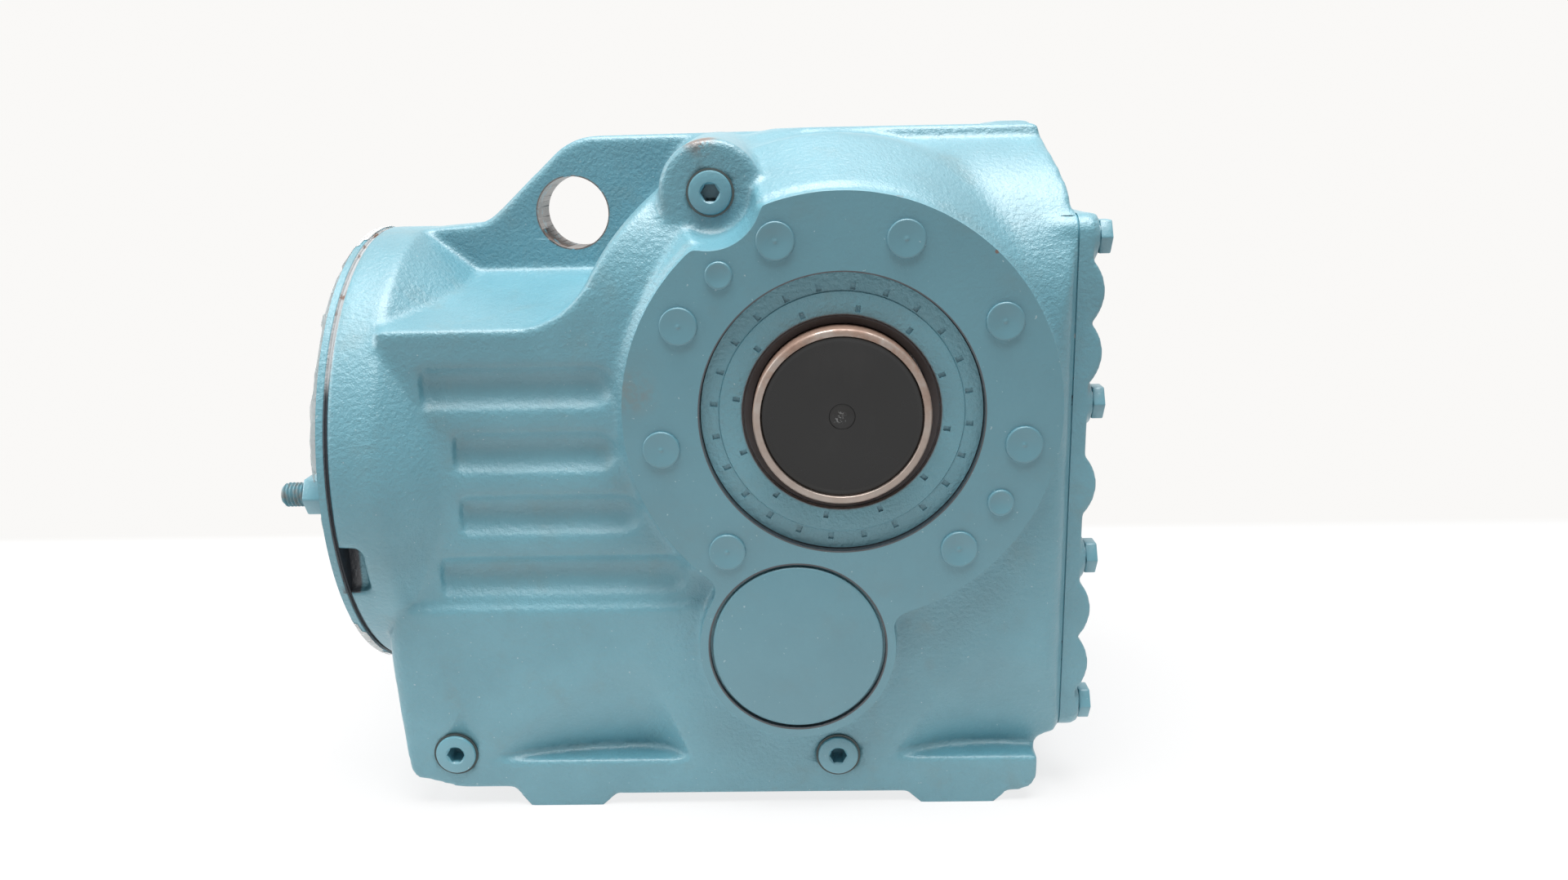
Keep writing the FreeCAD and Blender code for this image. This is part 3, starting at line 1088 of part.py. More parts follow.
def first_stage():
    at = ("0", "0", "mid_z")
    teeth = helical_gear("first_wheel_teeth", "wheel_first", "first", math.pi / 2, "-first_wheel_left",
                         "width_first", 1, "X", at)
    bore = cylinder("first_wheel_bore", "first_seat_d + 2 * fit_gap", "-first_wheel_left - 1",
                    "-first_wheel_right + 1", "X", at)
    slot = box("first_wheel_slot", ("-first_wheel_left - 1", "-first_wheel_right + 1"),
               ("-first_key_width / 2 - fit_gap", "first_key_width / 2 + fit_gap"),
               ("mid_z", "mid_z + first_seat_d / 2 + 3.3"))
    wheel_r = "module_first * wheel_first / 2 / cos(helix_first * 1 deg)"
    recess = [ring("first_recess", "first_seat_d + 26", f"2 * ({wheel_r}) - 22", begin, end, "X", at)
              for begin, end in (("-first_wheel_left - 1", "-first_wheel_left + 7"),
                                 ("-first_wheel_right - 7", "-first_wheel_right + 1"))]
    node(cut("first_wheel", teeth, fused("first_wheel_cuts", [bore, slot] + recess)))


# Input side


def input_pinion():
    at = ("0", "0", "in_z")
    count = int(round(number("pinion_first")))
    teeth = helical_gear("input_teeth", "pinion_first", "first", -math.pi / 2 + math.pi / count,
                         "-first_wheel_left - 1", "width_first + 2", -1, "X", at)
    blank = turned("input_blank", [
        ("-plate_out + 1.5", "0"), ("-first_wheel_left - 0.5", "0"), ("-first_wheel_left - 0.5",
                "in_bore_d / 2 + 3"), ("-stack_in", "in_bore_d / 2 + 3"),
        ("-stack_in", "in_bore_d / 2"), ("-plate_out + 2.5", "in_bore_d / 2"), ("-plate_out + 1.5",
                "in_bore_d / 2 - 1")], "X", at)
    bore = cylinder("input_bore", "in_shaft_bore_d", "-plate_out", "-plate_out + in_bore_depth", "X", at)
    slot = box("input_keyway", ("-plate_out", "-plate_out + in_bore_depth - 4"), ("-in_key_width / 2",
            "in_key_width / 2"),
               ("in_z", "in_z + in_shaft_bore_d / 2 + in_key_depth"))
    node(cut("input_pinion", fused("input_whole", [blank, teeth]), fused("input_cuts", [bore, slot])))


def input_seats():
    at = ("0", "0", "in_z")
    carrier_r = "in_ring_d / 2 + carrier_wall"
    seat = "in_ring_d / 2 + fit_gap"
    plate = turned("carrier_blank", [
        ("-plate_out", "in_seal_d / 2 + fit_gap"), ("-stack_out", "in_seal_d / 2 + fit_gap"), ("-stack_out",
                seat), ("-stack_in", seat),
        ("-stack_in", "in_ring_d / 2 - 4"), ("-stack_in + 2", "in_ring_d / 2 - 4"), ("-stack_in + 2",
                carrier_r),
        ("-plate_in + 6", f"{carrier_r} + 4"), ("-plate_in + 6", "spigot_d / 2 - 12"), ("-plate_in + 9",
                "spigot_d / 2 - 12"),
        ("-plate_in + 9", "spigot_d / 2"), ("-plate_in", "spigot_d / 2"), ("-plate_in", "neck_d / 2 - 1"),
        ("-plate_in - 0.8", "neck_d / 2"),
        ("-plate_out", "neck_d / 2")], "X", at)
    clear = fused("stud_clear", [cylinder("stud_clear_one", "stud_d + 1", "-plate_out - 1", "-neck_end + 1",
                                          "X",
                                          ("0", f"{sign} * stud_circle_d / 2", "in_z")) for sign in (-1,
                                                  1)])
    node(cut("input_carrier", plate, clear))
    node(cut("input_gasket", ring("gasket_ring", "spigot_d + 3", "neck_d - 3", "-plate_in", "-neck_end",
                                  "X", at), clear))
    film = ring("film_ring", "in_seal_d + 24", "neck_d - 6", "-plate_out - film_thick", "-plate_out", "X",
                at)
    openings = [cylinder("film_opening", "2.2 * stud_d", "-plate_out - 2 * film_thick", "-plate_out + 1",
                         "X",
                         ("0", f"{sign} * stud_circle_d / 2", "in_z")) for sign in (-1, 1)]
    node(cut("masking_film", film, fused("film_openings", openings)))
    first = ball_bearing("input_bearing_first", "in", "-stack_out", "X", at)
    second = ball_bearing("input_bearing_second", "in", "-stack_out + in_ring_width", "X", at)
    for name, one, two in zip(("outer_rings", "inner_rings", "ball_sets"), first, second):
        node(group("input_bearing_" + name, [one, two]))
    node(turned("input_seal", [
        ("-plate_out + 0.5", "in_bore_d / 2 + 5"), ("-stack_out - 2.4", "in_bore_d / 2 + 5"),
        ("-stack_out - 2.4", "in_bore_d / 2 + run_gap"),
        ("-stack_out - 1", "in_bore_d / 2 + run_gap"), ("-stack_out", "in_bore_d / 2 + 6"), ("-stack_out",
                "in_seal_d / 2"),
        ("-plate_out + 0.5", "in_seal_d / 2")], "X", at))
    stud = turned("stud_one", [
        ("-neck_end + 21", "0"), ("-neck_end + 21", "stud_d / 2"), ("-neck_end - stud_proud + 1.2",
                "stud_d / 2"),
        ("-neck_end - stud_proud", "stud_d / 2 - 1.2"), ("-neck_end - stud_proud", "0")], "X")
    sides = [shift("0", f"{sign} * stud_circle_d / 2", "in_z") for sign in (-1, 1)]
    node(copies("input_studs", stud, sides))
    nut = cut("stud_nut", hexagon("nut_hex", "1.5 * stud_d", "-plate_out - 0.9 * stud_d", "-plate_out"),
              cylinder("nut_hole", "stud_d + 2 * fit_gap", "-plate_out - stud_d", "-plate_out + 1", "X"))
    node(copies("input_nuts", nut, sides))


# Side cover and plugs


def side_cover():
    face = "cover_x + gasket_thick + cover_thick"
    plate = prism("cover_plate", "side", cover_corners("0"), "cover_x + gasket_thick", face)
    ribs = []
    for step in COVER_RIBS:
        bar = cylinder("cover_rib", "2 * cover_rib_radius", "-cover_half", "cover_half", "Y",
                       (f"{face} - cover_rib_radius + cover_rib_height", "0", f"cover_mid_z + {step}"))
        ribs.append(bar)
    keep = box("rib_side", ("cover_x + gasket_thick + 3", f"{face} + 20"), ("-cover_half", "cover_half"),
               ("cover_low", "cover_high"))
    holes = []
    spots = []
    bosses = []
    seat = f"{face} + cover_boss_rise"
    for sign in (-1, 1):
        for height in COVER_ROWS:
            side = f"{sign} * (cover_half - cover_bolt_inset)"
            bosses.append(cylinder("cover_boss", "cover_boss_d", "cover_x + gasket_thick", seat, "X", ("0",
                    side, height)))
            holes.append(cylinder("cover_clear", "cover_bolt_d + 1", "cover_x - 1", f"{seat} + 1", "X",
                                  ("0", side, height)))
            spots.append(shift("0", side, height))
    bars = shared("cover_ribs", [fused("cover_bars", ribs), keep])
    node(cut("side_cover", fused("cover_whole", [plate, bars] + bosses), fused("cover_holes", holes)))
    sheet_cuts = [prism("gasket_window", "side", cover_corners("window_inset - 3"), "cover_x - 1",
                        "cover_x + gasket_thick + 1")]
    node(cut("side_cover_gasket", prism("gasket_plate", "side", cover_corners("0.8"), "cover_x",
                                        "cover_x + gasket_thick"),
             fused("gasket_cuts", sheet_cuts + holes)))
    shank = cylinder("bolt_shank", "cover_bolt_d - 1.5 - 2 * fit_gap", "cover_x - 15", f"{seat} + 1", "X")
    head = hexagon("bolt_head", "1.6 * cover_bolt_d", seat, f"{seat} + 0.64 * cover_bolt_d")
    node(copies("side_cover_bolts", fused("cover_bolt", [shank, head]), spots))


def screw_plugs():
    """Three hexagon-socket screw plugs, each on its sealing ring."""
    washers = []
    for label, x, out, z in (("filler_plug", "top_plug_x", "top_boss_y", "top_plug_z"), ("level_plug",
            "low_plug_x", "sump_half", "low_plug_z"),
                             ("drain_plug", "floor_plug_x", "sump_half", "floor_plug_z")):
        top = f"-({out}) - washer_thick - plug_head_rise"
        solid = turned(label + "_blank", [
            (top, "0"), (top, "plug_head_d / 2 - 0.8"), (f"{top} + 0.8", "plug_head_d / 2"),
            (f"-({out}) - washer_thick", "plug_head_d / 2"),
            (f"-({out}) - washer_thick", "plug_thread_d / 2"), (f"-({out}) + plug_length",
                    "plug_thread_d / 2"),
            (f"-({out}) + plug_length", "0")], "Y", (x, "0", z))
        socket = hexagon(label + "_socket", "plug_hex", "0", "plug_hex_depth + 1")
        socket.Placement = FreeCAD.Placement(Vector(), FreeCAD.Rotation(Vector(1, 0, 0), -90))
        for letter, place in zip("xyz", (x, f"{top} - 1", z)):
            socket.setExpression(f".Placement.Base.{letter}", named(place))
        node(cut(label, solid, socket))
        washers.append(ring(label + "_ring", "plug_thread_d + 2 * fit_gap", "plug_head_d + 1",
                            f"-({out}) - washer_thick", f"-({out})", "Y", (x, "0", z)))
    node(group("plug_rings", washers))


housing()
output_shaft()
output_gear()
output_seats()
face_caps()
intermediate_seats()
intermediate_shaft()
bevel_wheel()
bevel_pinion_shaft()
pinion_seats()
first_stage()
input_pinion()
input_seats()
side_cover()
screw_plugs()
doc.recompute()

for item in doc.Objects:
    bad = [word for word in ("Invalid", "Error") if word in item.State]
    if bad:
        raise RuntimeError(f"{item.Label} is {bad[0]}")

os.makedirs("parts", exist_ok=True)
for piece in NODES:
    if piece.Shape.isNull() or not piece.Shape.isValid():
        raise RuntimeError(f"{piece.Label} has no valid shape")
    piece.Shape.exportStep(f"parts/{piece.Label}.step")
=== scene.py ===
import json
import math

import bmesh
import bpy
from mathutils import Matrix, Vector, noise


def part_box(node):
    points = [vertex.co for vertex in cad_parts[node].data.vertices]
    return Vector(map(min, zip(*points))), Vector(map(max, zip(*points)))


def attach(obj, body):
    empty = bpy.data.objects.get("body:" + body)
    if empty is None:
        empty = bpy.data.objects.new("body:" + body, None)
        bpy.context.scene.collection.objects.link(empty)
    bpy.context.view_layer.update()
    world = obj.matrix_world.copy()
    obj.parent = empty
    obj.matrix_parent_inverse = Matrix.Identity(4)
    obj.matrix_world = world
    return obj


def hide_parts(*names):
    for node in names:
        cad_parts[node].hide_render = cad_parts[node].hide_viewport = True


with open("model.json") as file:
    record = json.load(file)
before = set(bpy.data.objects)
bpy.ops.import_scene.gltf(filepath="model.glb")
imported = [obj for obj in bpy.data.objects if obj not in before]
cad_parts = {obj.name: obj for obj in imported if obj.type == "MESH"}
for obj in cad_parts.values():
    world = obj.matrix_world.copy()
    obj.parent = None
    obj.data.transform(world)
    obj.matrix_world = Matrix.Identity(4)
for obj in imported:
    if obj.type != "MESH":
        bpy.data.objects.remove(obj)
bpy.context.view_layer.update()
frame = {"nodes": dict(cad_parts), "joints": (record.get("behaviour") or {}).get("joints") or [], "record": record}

# Places and sizes of the gearbox, in millimetres. Planes, axes and mounts are read from the frame.
# The output axis is Y through the origin, the input comes in along X from the left, and Z is up.
MM = 0.001
LOW, HIGH = 0, 1
X, Y, Z = 0, 1, 2
X_AXIS = Vector((1, 0, 0))
Y_AXIS = Vector((0, 1, 0))
Z_AXIS = Vector((0, 0, 1))


def mm(*values):
    return Vector(values) * MM


def reach(node, end, axis):
    """The lowest or highest place of a node on an axis."""
    return round(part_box(node)[end][axis] / MM, 3)


def place_of(entries, name):
    """The place of a named joint or mount."""
    found = [entry for entry in entries if entry["name"] == name][0]
    return [round(value / MM, 3) for value in found["pos_m"]]


FACE_Y = reach("closing_caps", HIGH, Y)
SEAL_Y = reach("output_seal_cases", HIGH, Y)
BASE_Z = reach("housing", LOW, Z)
NECK_X = reach("housing", LOW, X)
PAD_X = reach("housing", HIGH, X)
PLATE_X = reach("input_carrier", LOW, X)
COVER_X = reach("side_cover", LOW, X)
STUD_END = reach("input_studs", LOW, X)
STUD_ROOT = reach("input_studs", HIGH, X)
MID_X, _, MID_Z = place_of(frame["joints"], "intermediate_spin")
_, _, INPUT_Z = place_of(frame["joints"], "input_spin")
LUG_X, _, LUG_Z = place_of(frame["record"]["mounts"], "lifting_eye")

SEAL_R = 68
NECK_R = 122.5
LUG_R = 19.25
DISC_LEFT = -130
COVER_SEAT_X = COVER_X + 10.5
COVER_ROWS = (-165.55, -83.85, -2.15, 79.55)
COVER_SIDE = 81
STUD_R = 6
STUD_Y = 107.5
BOLT_CIRCLE_R = 88
BOLT_ANGLES = (30, 70, 110, 150, 190, 230, 310, 350)
DOWEL_ANGLES = (130, 330)
PLUGS = {"filler_plug": (-61, -90, 104), "level_plug": (-203, -104, -181), "drain_plug": (-3, -104, -183.5)}
FOOT_HOLES_X = (-146.5, 59.5)
FOOT_HOLES_Y = 89
RIM_SLOT_LOW, RIM_SLOT_HIGH = INPUT_Z - 50, INPUT_Z - 25


# Camera

CAMERA_PLACE = (-16.785, -657.136, 124.861)
CAMERA_YAW, CAMERA_PITCH, CAMERA_ROLL = -1.162, 14.104, -1.139
IMAGE_WIDTH = 1920
FOCAL_PIXELS = 1433.7
SENSOR_WIDTH = 36


def set_camera():
    """The camera where the photograph was taken from, found from the caps on the output face."""
    yaw, pitch, roll = (math.radians(angle) for angle in (CAMERA_YAW, CAMERA_PITCH, CAMERA_ROLL))
    ahead = Vector((math.sin(yaw) * math.cos(pitch), math.cos(yaw) * math.cos(pitch), -math.sin(pitch)))
    right = Vector((math.cos(yaw), -math.sin(yaw), 0))
    up = right.cross(ahead)
    across = right * math.cos(roll) + up * math.sin(roll)
    upward = up * math.cos(roll) - right * math.sin(roll)
    lens = bpy.data.cameras.new("camera")
    lens.sensor_width = SENSOR_WIDTH
    lens.lens = SENSOR_WIDTH * FOCAL_PIXELS / IMAGE_WIDTH
    lens.clip_start = 0.01
    camera = bpy.data.objects.new("camera", lens)
    bpy.context.scene.collection.objects.link(camera)
    turn = Matrix((across, upward, -ahead)).transposed().to_4x4()
    camera.matrix_world = Matrix.Translation(mm(*CAMERA_PLACE)) @ turn
    bpy.context.scene.camera = camera


# Materials


class Finish:
    """A material's nodes, made by short calls."""

    def __init__(self, name):
        self.material = bpy.data.materials.new(name)
        self.material.use_nodes = True
        self.tree = self.material.node_tree
        self.shader = self.tree.nodes["Principled BSDF"]
        self.place = self.tree.nodes.new("ShaderNodeTexCoord").outputs["Object"]

    def node(self, kind, **values):
        made = self.tree.nodes.new("ShaderNode" + kind)
        for key, value in values.items():
            if hasattr(made, key):
                setattr(made, key, value)
            else:
                self.feed(made.inputs[key], value)
        return made

    def feed(self, socket, value):
        if isinstance(value, bpy.types.NodeSocket):
            self.tree.links.new(value, socket)
        else:
            socket.default_value = value

    def put(self, name, value):
        self.feed(self.shader.inputs[name], value)

    def noise(self, scale, detail=4.0, rough=0.55, place=None):
        made = self.node("TexNoise", Scale=scale, Detail=detail, Roughness=rough)
        self.feed(made.inputs["Vector"], place or self.place)
        return made.outputs["Fac"]

    def stretched(self, x, y, z):
        """The place with each axis scaled by itself, for streaks."""
        made = self.node("Mapping")
        self.feed(made.inputs["Vector"], self.place)
        made.inputs["Scale"].default_value = (x, y, z)
        return made.outputs["Vector"]

    def span(self, value, low, high, to_low=0.0, to_high=1.0):
        made = self.node("MapRange", interpolation_type="SMOOTHSTEP")
        for index, entry in enumerate((value, low, high, to_low, to_high)):
            self.feed(made.inputs[index], entry)
        return made.outputs["Result"]

    def math(self, operation, first, second=0.0):
        made = self.node("Math", operation=operation)
        self.feed(made.inputs[0], first)
        self.feed(made.inputs[1], second)
        return made.outputs[0]

    def both(self, *shares):
        """The product of several shares."""
        whole = shares[0]
        for share in shares[1:]:
            whole = self.math("MULTIPLY", whole, share)
        return whole

    def either(self, *shares):
        """The largest of several shares."""
        whole = shares[0]
        for share in shares[1:]:
            whole = self.math("MAXIMUM", whole, share)
        return whole

    def mix(self, share, first, second):
        made = self.node("Mix", data_type="RGBA")
        for name, value in (("Factor", share), ("A", first), ("B", second)):
            socket = [s for s in made.inputs if s.name == name and (s.type == "RGBA" or name == "Factor")][0]
            plain_colour = name != "Factor" and not isinstance(value, bpy.types.NodeSocket)
            self.feed(socket, (*value, 1) if plain_colour else value)
        return [s for s in made.outputs if s.type == "RGBA"][0]

    def bump(self, height, distance, strength=1.0, under=None):
        made = self.node("Bump", Strength=strength, Distance=distance, Height=height)
        if under:
            self.feed(made.inputs["Normal"], under)
        return made.outputs["Normal"]

    def axis(self, letter):
        made = self.node("SeparateXYZ", Vector=self.place)
        return made.outputs[letter]

    def within(self, letter, low, high, edge=0.3):
        """One between two places on an axis and nought outside them, in millimetres."""
        place = self.axis(letter)
        return self.both(self.span(place, (low - edge) * MM, (low + edge) * MM),
                         self.span(place, (high - edge) * MM, (high + edge) * MM, 1.0, 0.0))

    def from_line(self, x=None, y=None, z=None):
        """Distance from a point, or from a line along the axis that is left out, given in millimetres."""
        keep = [0.0 if value is None else 1.0 for value in (x, y, z)]
        centre = [0.0 if value is None else value * MM for value in (x, y, z)]
        flat = self.node("VectorMath", operation="MULTIPLY")
        self.feed(flat.inputs[0], self.place)
        self.feed(flat.inputs[1], keep)
        made = self.node("VectorMath", operation="DISTANCE")
        self.feed(made.inputs[0], flat.outputs["Vector"])
        self.feed(made.inputs[1], centre)
        return made.outputs["Value"]

    def near(self, inner, outer, x=None, y=None, z=None):
        """One near a point or line, falling to nought between two distances from it, in millimetres."""
        return self.span(self.from_line(x, y, z), inner * MM, outer * MM, 1.0, 0.0)

    def far_along_y(self, low, high):
        """Nought near the middle of the gearbox and one towards both its faces, in millimetres."""
        return self.span(self.math("ABSOLUTE", self.axis("Y")), low * MM, high * MM)


PAINT_DARK = (0.105, 0.298, 0.368)
PAINT_LIGHT = (0.130, 0.356, 0.436)
FACE_SHADE = (0.078, 0.225, 0.280)
PAINT_SPECK = (0.42, 0.56, 0.60)
GRIME = (0.145, 0.185, 0.165)
RUST = (0.16, 0.075, 0.045)
BARE_IRON = (0.10, 0.085, 0.075)
# Painted shade for the open joint's lower part, deep in the rim slot, and in the gaps round seals and closing
# discs.
GAP_SHADE = (0.018, 0.022, 0.030)
FILM_GREY = (0.42, 0.44, 0.45)
FILM_BROWN = (0.20, 0.12, 0.09)
RUST_STAIN = (0.20, 0.13, 0.07)
MOUTH_GREY = (0.085, 0.080, 0.085)
HUB_STEEL = ((0.31, 0.26, 0.23), (0.47, 0.415, 0.375))
HUB_BROWN = ((0.24, 0.14, 0.10), (0.46, 0.31, 0.24))
THREAD_GREY = (0.25, 0.25, 0.24)
CAP_BLACK = ((0.005, 0.0047, 0.0045), (0.013, 0.012, 0.0118))
NICK_GREY = (0.22, 0.22, 0.22)
RUBBER = ((0.065, 0.060, 0.062), (0.120, 0.114, 0.118))
FILM_MILKY = ((0.88, 0.87, 0.86), (0.95, 0.945, 0.94))
FILM_PINK = (0.80, 0.70, 0.69)

# Spots where the paint is worn, in millimetres.
WORN_BOSS = (-66, -84, 128.5)
WORN_RIM = (30, -112, 100.5)
CHIPPED_EDGE = (71.5, -FACE_Y, 76.1)
STAINED_FACE = (-99, -FACE_Y, 13)


def rust_tone(finish, scale=300):
    return finish.mix(finish.noise(scale, 4), RUST, BARE_IRON)


def paint_tone(finish, scale, detail=4):
    return finish.mix(finish.noise(scale, detail), PAINT_DARK, PAINT_LIGHT)


def rim_gap_film_and_shade(finish):
    """The open joint of the input side: pale above, where film is caught in it, and painted shade further down in
    the gap.
    """
    wavy = finish.math("MULTIPLY", finish.noise(40, 3), 0.02)
    lower = finish.span(finish.math("ADD", finish.axis("Z"), wavy), 0.018, 0.030, 1.0, 0.0)
    upper = finish.mix(finish.span(finish.noise(75, 4), 0.56, 0.63), FILM_GREY, FILM_BROWN)
    return finish.mix(lower, upper, GAP_SHADE)


def ring_line(finish, x, z, radius, half):
    """One on a thin circle about an axis along Y, in millimetres, and nought beside it."""
    off = finish.math("ABSOLUTE", finish.math("SUBTRACT", finish.from_line(x=x, z=z), radius * MM))
    return finish.span(off, (half - 0.15) * MM, (half + 0.15) * MM, 1.0, 0.0)


def bare_spots(finish, colour):
    """Paint worn off to rusty iron in the lug's eye, on the filler boss and the face's rim, and a stain."""
    ragged = finish.noise(160, 5, 0.65)
    eye = finish.both(finish.near(LUG_R + 0.25, LUG_R + 1.05, x=LUG_X, z=LUG_Z),
                      finish.span(ragged, 0.36, 0.44))
    boss = finish.both(finish.near(4, 12, *WORN_BOSS), finish.span(ragged, 0.42, 0.52))
    chip = finish.near(0.7, 1.2, *CHIPPED_EDGE)
    rim = finish.both(finish.near(3, 8, *WORN_RIM), finish.span(ragged, 0.58, 0.62))
    colour = finish.mix(finish.either(eye, boss, chip, rim), colour, rust_tone(finish))
    around = finish.span(finish.from_line(*STAINED_FACE), 3 * MM, 16 * MM, 0.35, 0.0)
    return finish.mix(finish.both(around, finish.span(ragged, 0.3, 0.6)), colour, RUST_STAIN)


def open_joints(finish, colour):
    """The unpainted joint and rim slot of the input side, with painted shade in the joint's lower part and deep in
    the slot, and painted shade as dark lines in the gaps round seals and closing discs.
    """
    above = finish.span(finish.axis("Z"), 0.015, 0.030)
    joint = finish.either(finish.within("X", NECK_X - 2.0, NECK_X + 0.3),
                          finish.both(above, finish.within("X", NECK_X - 2.0, NECK_X + 1.6)))
    inside = finish.near(NECK_R - 0.5, NECK_R - 0.2, y=0, z=INPUT_Z)
    colour = finish.mix(finish.both(joint, inside), colour, rim_gap_film_and_shade(finish))
    mouth = finish.both(finish.near(47.6, 48.6, x=0, z=0), finish.far_along_y(100, 101))
    colour = finish.mix(mouth, colour, MOUTH_GREY)
    # Painted shade deep inside the rim slot.
    slot = finish.both(finish.within("Z", RIM_SLOT_LOW - 1, RIM_SLOT_HIGH + 2),
                       finish.within("X", NECK_X - 3, NECK_X + 5, 0.8),
                       finish.span(finish.axis("Y"), -0.1145, -0.1105),
                       finish.span(finish.axis("Y"), -0.1, -0.09, 1.0, 0.0))
    # Painted shade: thin dark circles in the gaps round the seals and the closing discs.
    circles = finish.both(finish.far_along_y(105, 106),
                          finish.either(ring_line(finish, 0, 0, SEAL_R + 0.1, 0.55),
                                        ring_line(finish, MID_X, MID_Z, 44.3, 0.5)))
    return finish.mix(finish.either(slot, circles), colour, GAP_SHADE)


def paint(name, worn=False, grain=1.0):
    """Sprayed semi-gloss machine paint over a casting, with the machined output faces painted darker as shade,
    and, where asked for, the worn spots of the housing and painted shade in its joints and gaps.
    """
    finish = Finish(name)
    patches = finish.span(finish.noise(16, 6, 0.6), 0.3, 0.7)
    colour = finish.mix(patches, PAINT_DARK, PAINT_LIGHT)
    colour = finish.mix(finish.span(finish.noise(38, 5, 0.6), 0.52, 0.78, 0.0, 0.28), colour, GRIME)
    machined = finish.both(finish.far_along_y(FACE_Y - 0.6, FACE_Y - 0.2),
                           finish.span(finish.axis("X"), (DISC_LEFT - 2) * MM, DISC_LEFT * MM))
    # Painted shade: the machined output faces are painted half way to a darker tone.
    colour = finish.mix(finish.math("MULTIPLY", machined, 0.5), colour, FACE_SHADE)
    specks = finish.span(finish.noise(560, 1), 0.765, 0.79, 0.0, 0.6)
    colour = finish.mix(specks, colour, PAINT_SPECK)
    # Worn spots, and painted shade in the joints, the rim slot and the gaps.
    if worn:
        colour = open_joints(finish, bare_spots(finish, colour))
    finish.put("Base Color", colour)
    finish.put("Roughness", finish.span(finish.noise(70, 4), 0.25, 0.75, 0.36, 0.46))
    finish.put("Specular IOR Level", 0.75)
    finish.put("Coat Weight", 0.9)
    finish.put("Coat Roughness", 0.40)
    peel = finish.noise(460, 3, 0.5)
    sand = finish.noise(1500, 2, 0.5)
    rough = finish.math("SUBTRACT", 1.0, finish.math("MULTIPLY", machined, 0.7))
    relief = finish.math("MULTIPLY", finish.math("ADD", peel, finish.math("MULTIPLY", sand, 0.35)), rough)
    finish.put("Normal", finish.bump(relief, 0.0012, 0.62 * grain))
    return finish.material


def metal(name, colour, rough):
    """Machined steel with a fine tool grain."""
    finish = Finish(name)
    dull = tuple(0.78 * part for part in colour)
    finish.put("Base Color", finish.mix(finish.noise(90, 4), dull, colour))
    finish.put("Metallic", 1.0)
    finish.put("Roughness", finish.span(finish.noise(260, 4), 0.2, 0.8, rough - 0.07, rough + 0.09))
    finish.put("Normal", finish.bump(finish.noise(900, 3), 0.0004, 0.25))
    return finish.material


def rusty_hub():
    """The bare end of the hollow shaft: brown on its outside, rubbed brighter on its edge and end face."""
    finish = Finish("bare_shaft")
    out = finish.from_line(x=0, z=0)
    rough_edge = finish.math("MULTIPLY", finish.noise(210, 5, 0.65), 0.0011)
    outside = finish.span(finish.math("ADD", out, rough_edge), 0.0424, 0.0430)
    streaks = finish.span(finish.noise(70, 5, 0.6, finish.stretched(1, 0.15, 1)), 0.36, 0.58, 0.0, 0.92)
    high = finish.span(finish.axis("Z"), -0.02, 0.03, 0.25, 1.0)
    rust = finish.either(outside, finish.both(streaks, high))
    face = finish.mix(finish.noise(120, 4), *HUB_STEEL)
    brown = finish.mix(finish.noise(420, 4), *HUB_BROWN)
    finish.put("Base Color", finish.mix(rust, face, brown))
    finish.put("Metallic", finish.math("SUBTRACT", 0.85, finish.math("MULTIPLY", rust, 0.65)))
    finish.put("Roughness", finish.math("ADD", finish.span(finish.noise(260, 4), 0.2, 0.8, 0.26, 0.40),
                                        finish.math("MULTIPLY", rust, 0.22)))
    finish.put("Normal", finish.bump(finish.noise(700, 4), 0.0005, 0.3))
    return finish.material


def painted_thread():
    """Paint sprayed over a threaded stud, thin enough for brown steel to show through."""
    finish = Finish("stud_steel")
    through = finish.span(finish.noise(190, 5, 0.65), 0.40, 0.64, 0.15, 0.85)
    finish.put("Base Color", finish.mix(through, paint_tone(finish, 60, 3), THREAD_GREY))
    finish.put("Roughness", finish.span(finish.noise(120, 3), 0.25, 0.75, 0.36, 0.52))
    finish.put("Normal", finish.bump(finish.noise(800, 3), 0.0003, 0.3))
    return finish.material


def joint_gasket():
    """Flat gasket, sprayed over at the cover and left open at the input side; its open parts take the joint's film
    and painted shade.
    """
    finish = Finish("gasket")
    sprayed = finish.both(finish.span(finish.axis("X"), -0.01, 0.01),
                          finish.span(finish.noise(48, 4, 0.6), 0.60, 0.64, 1.0, 0.0))
    finish.put("Base Color", finish.mix(sprayed, rim_gap_film_and_shade(finish), paint_tone(finish, 60)))
    finish.put("Roughness", finish.span(finish.noise(90, 4), 0.25, 0.75, 0.5, 0.7))
    finish.put("Normal", finish.bump(finish.noise(500, 3), 0.0004, 0.3))
    return finish.material


def black_cap():
    """Smooth black plastic with wiped smears and a pale nick at its gate mark."""
    finish = Finish("black_cap")
    smears = finish.span(finish.noise(26, 5, 0.6, finish.stretched(1, 1, 0.5)), 0.48, 0.72)
    tone = finish.mix(smears, *CAP_BLACK)
    flecks = finish.span(finish.noise(650, 4, 0.7), 0.54, 0.60)
    nick = finish.both(finish.near(1.2, 4.2, x=-1, z=-0.5), flecks)
    finish.put("Base Color", finish.mix(nick, tone, NICK_GREY))
    finish.put("Roughness", finish.span(finish.noise(34, 4), 0.25, 0.75, 0.24, 0.36))
    finish.put("Normal", finish.bump(finish.noise(420, 3), 0.0003, 0.1))
    return finish.material


